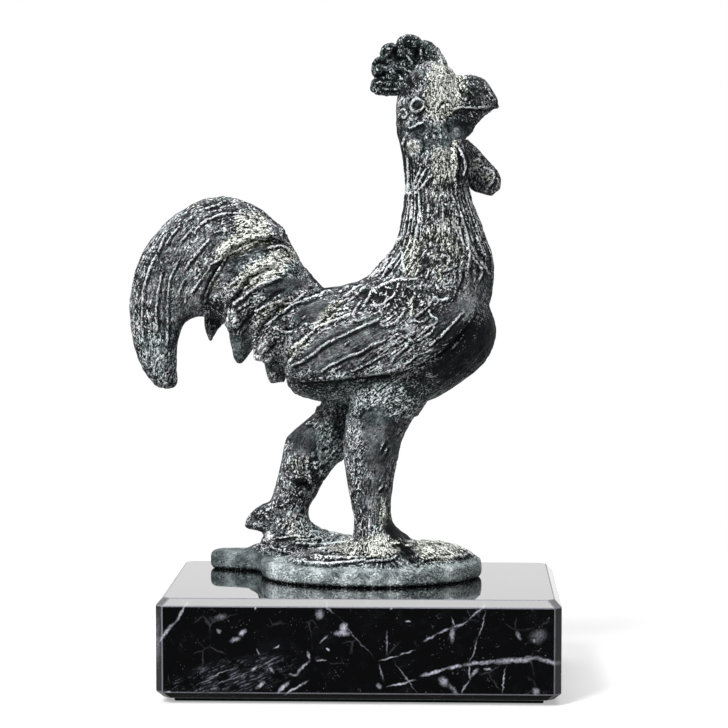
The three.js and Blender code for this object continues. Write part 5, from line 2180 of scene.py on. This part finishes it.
@dataclass
class Studio:
    """A pale floor, a white surround, soft lamps and the camera."""

    floor_reach: float = 4.0
    shadow_reach: float = 0.22
    lit: float = 0.4
    floor_colour: Colour = (0.95, 0.95, 0.95)
    floor_to_lamps: Colour = (0.5, 0.5, 0.5)
    surround: float = 0.14
    lamps_aim: Point3 = (0.0, 0.0, 0.06)
    eye: Point3 = (0.0175, -0.5037, 0.1044)
    pitch: float = 4.41
    yaw: float = 1.95
    focal_pixels: float = 2469.0
    sensor: float = 36.0

    def build(self) -> None:
        """Builds the studio."""
        self.world()
        self.floor()
        self.lamp("key_lamp", (-0.6, -0.8, 1.0), 0.45, 24.0)
        self.lamp("overhead_lamp", (0.0, 0.1, 1.1), 1.2, 13.0)
        self.camera()

    def seen(self, tree: NodeTree) -> NodeSocket:
        """1 for rays that show the background: from the camera, a gloss or a clear piece.

        Args:
            tree: The node tree that it goes into.

        Returns:
            The socket.
        """
        rays = tree.nodes.new("ShaderNodeLightPath")
        whole = rays.outputs["Is Camera Ray"]
        for name in ("Is Glossy Ray", "Is Transmission Ray"):
            most = tree.nodes.new("ShaderNodeMath")
            most.operation = "MAXIMUM"
            tree.links.new(whole, most.inputs[0])
            tree.links.new(rays.outputs[name], most.inputs[1])
            whole = most.outputs[0]
        return whole

    def world(self) -> None:
        """A white surround that lights the object at a plain level."""
        world = bpy.data.worlds.new("surround")
        bpy.context.scene.world = world
        world.use_nodes = True
        tree = world.node_tree
        tree.nodes.clear()
        level = tree.nodes.new("ShaderNodeMapRange")
        tree.links.new(self.seen(tree), level.inputs["Value"])
        level.inputs["To Min"].default_value = self.surround
        level.inputs["To Max"].default_value = 1.0
        light = tree.nodes.new("ShaderNodeBackground")
        tree.links.new(level.outputs[0], light.inputs["Strength"])
        light.inputs["Color"].default_value = (1.0, 1.0, 1.0, 1.0)
        output = tree.nodes.new("ShaderNodeOutputWorld")
        tree.links.new(light.outputs[0], output.inputs["Surface"])

    def floor(self) -> None:
        """A pale floor that keeps the shadow near the plinth and fades into the white surround."""
        mesh = bpy.data.meshes.new("floor")
        r = self.floor_reach
        mesh.from_pydata([(-r, -r, 0), (r, -r, 0), (r, r, 0), (-r, r, 0)], [], [(0, 1, 2, 3)])
        recipe = Recipe("pale_floor")
        away = recipe.vector("LENGTH", recipe.place)
        far = recipe.between(away, 0.3 * self.shadow_reach / MM, self.shadow_reach / MM)
        tone = recipe.noise(40.0, 3.0, 0.5)
        pale = recipe.blend(recipe.between(tone, 0.3, 0.7), self.floor_colour, (0.96, 0.96, 0.96))
        near_colour = recipe.blend(self.seen(recipe.tree), self.floor_to_lamps, pale)
        recipe.finish(Base_Color=near_colour, Roughness=0.9, Specular_IOR_Level=0.0)
        matt = recipe.output.inputs["Surface"].links[0].from_socket
        white = {"Color": (1.0, 1.0, 1.0, 1.0), "Strength": 1.0}
        glow = recipe.node("ShaderNodeEmission", white).outputs[0]
        share = recipe.math("MULTIPLY", recipe.math("MAXIMUM", far, self.lit), self.seen(recipe.tree))
        mixed = recipe.node("ShaderNodeMixShader", {0: share, 1: matt, 2: glow}).outputs[0]
        recipe.tree.links.new(mixed, recipe.output.inputs["Surface"])
        mesh.materials.append(recipe.material)
        floor = placed("studio_floor", mesh)

    def lamp(self, name: str, place: Point3, size: float, power: float) -> None:
        """One soft square lamp, aimed at the figure.

        Args:
            name: The lamp's name.
            place: Where it hangs, in metres.
            size: Its side.
            power: Its watts.
        """
        light = bpy.data.lights.new(name, "AREA")
        light.size = size
        light.energy = power
        lamp = placed(name, light)
        lamp.location = place
        aim = Vector(self.lamps_aim) - Vector(place)
        lamp.rotation_euler = aim.to_track_quat("-Z", "Y").to_euler()

    def camera(self) -> None:
        """The camera at the photograph's place."""
        data = bpy.data.cameras.new("camera")
        data.sensor_width = self.sensor
        data.lens = self.focal_pixels / IMAGE_SIDE * self.sensor
        data.clip_start = 0.01
        data.clip_end = 50.0
        camera = placed("camera", data)
        camera.location = self.eye
        camera.rotation_euler = (math.radians(90 - self.pitch), 0.0, math.radians(self.yaw))
        bpy.context.scene.camera = camera


def main() -> None:
    """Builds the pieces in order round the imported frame."""
    logging.basicConfig(level=logging.INFO, format="%(message)s")
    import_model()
    bpy.context.scene.view_settings.view_transform = "Standard"
    place = FigureFrame()
    Castings(place, AgedBronze()).build()
    Plinth().build()
    FeltPad(FeltCloth()).build()
    Fixings(ZincSteel()).dress()
    Studio().build()
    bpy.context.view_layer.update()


if __name__ == "__main__":
    main()
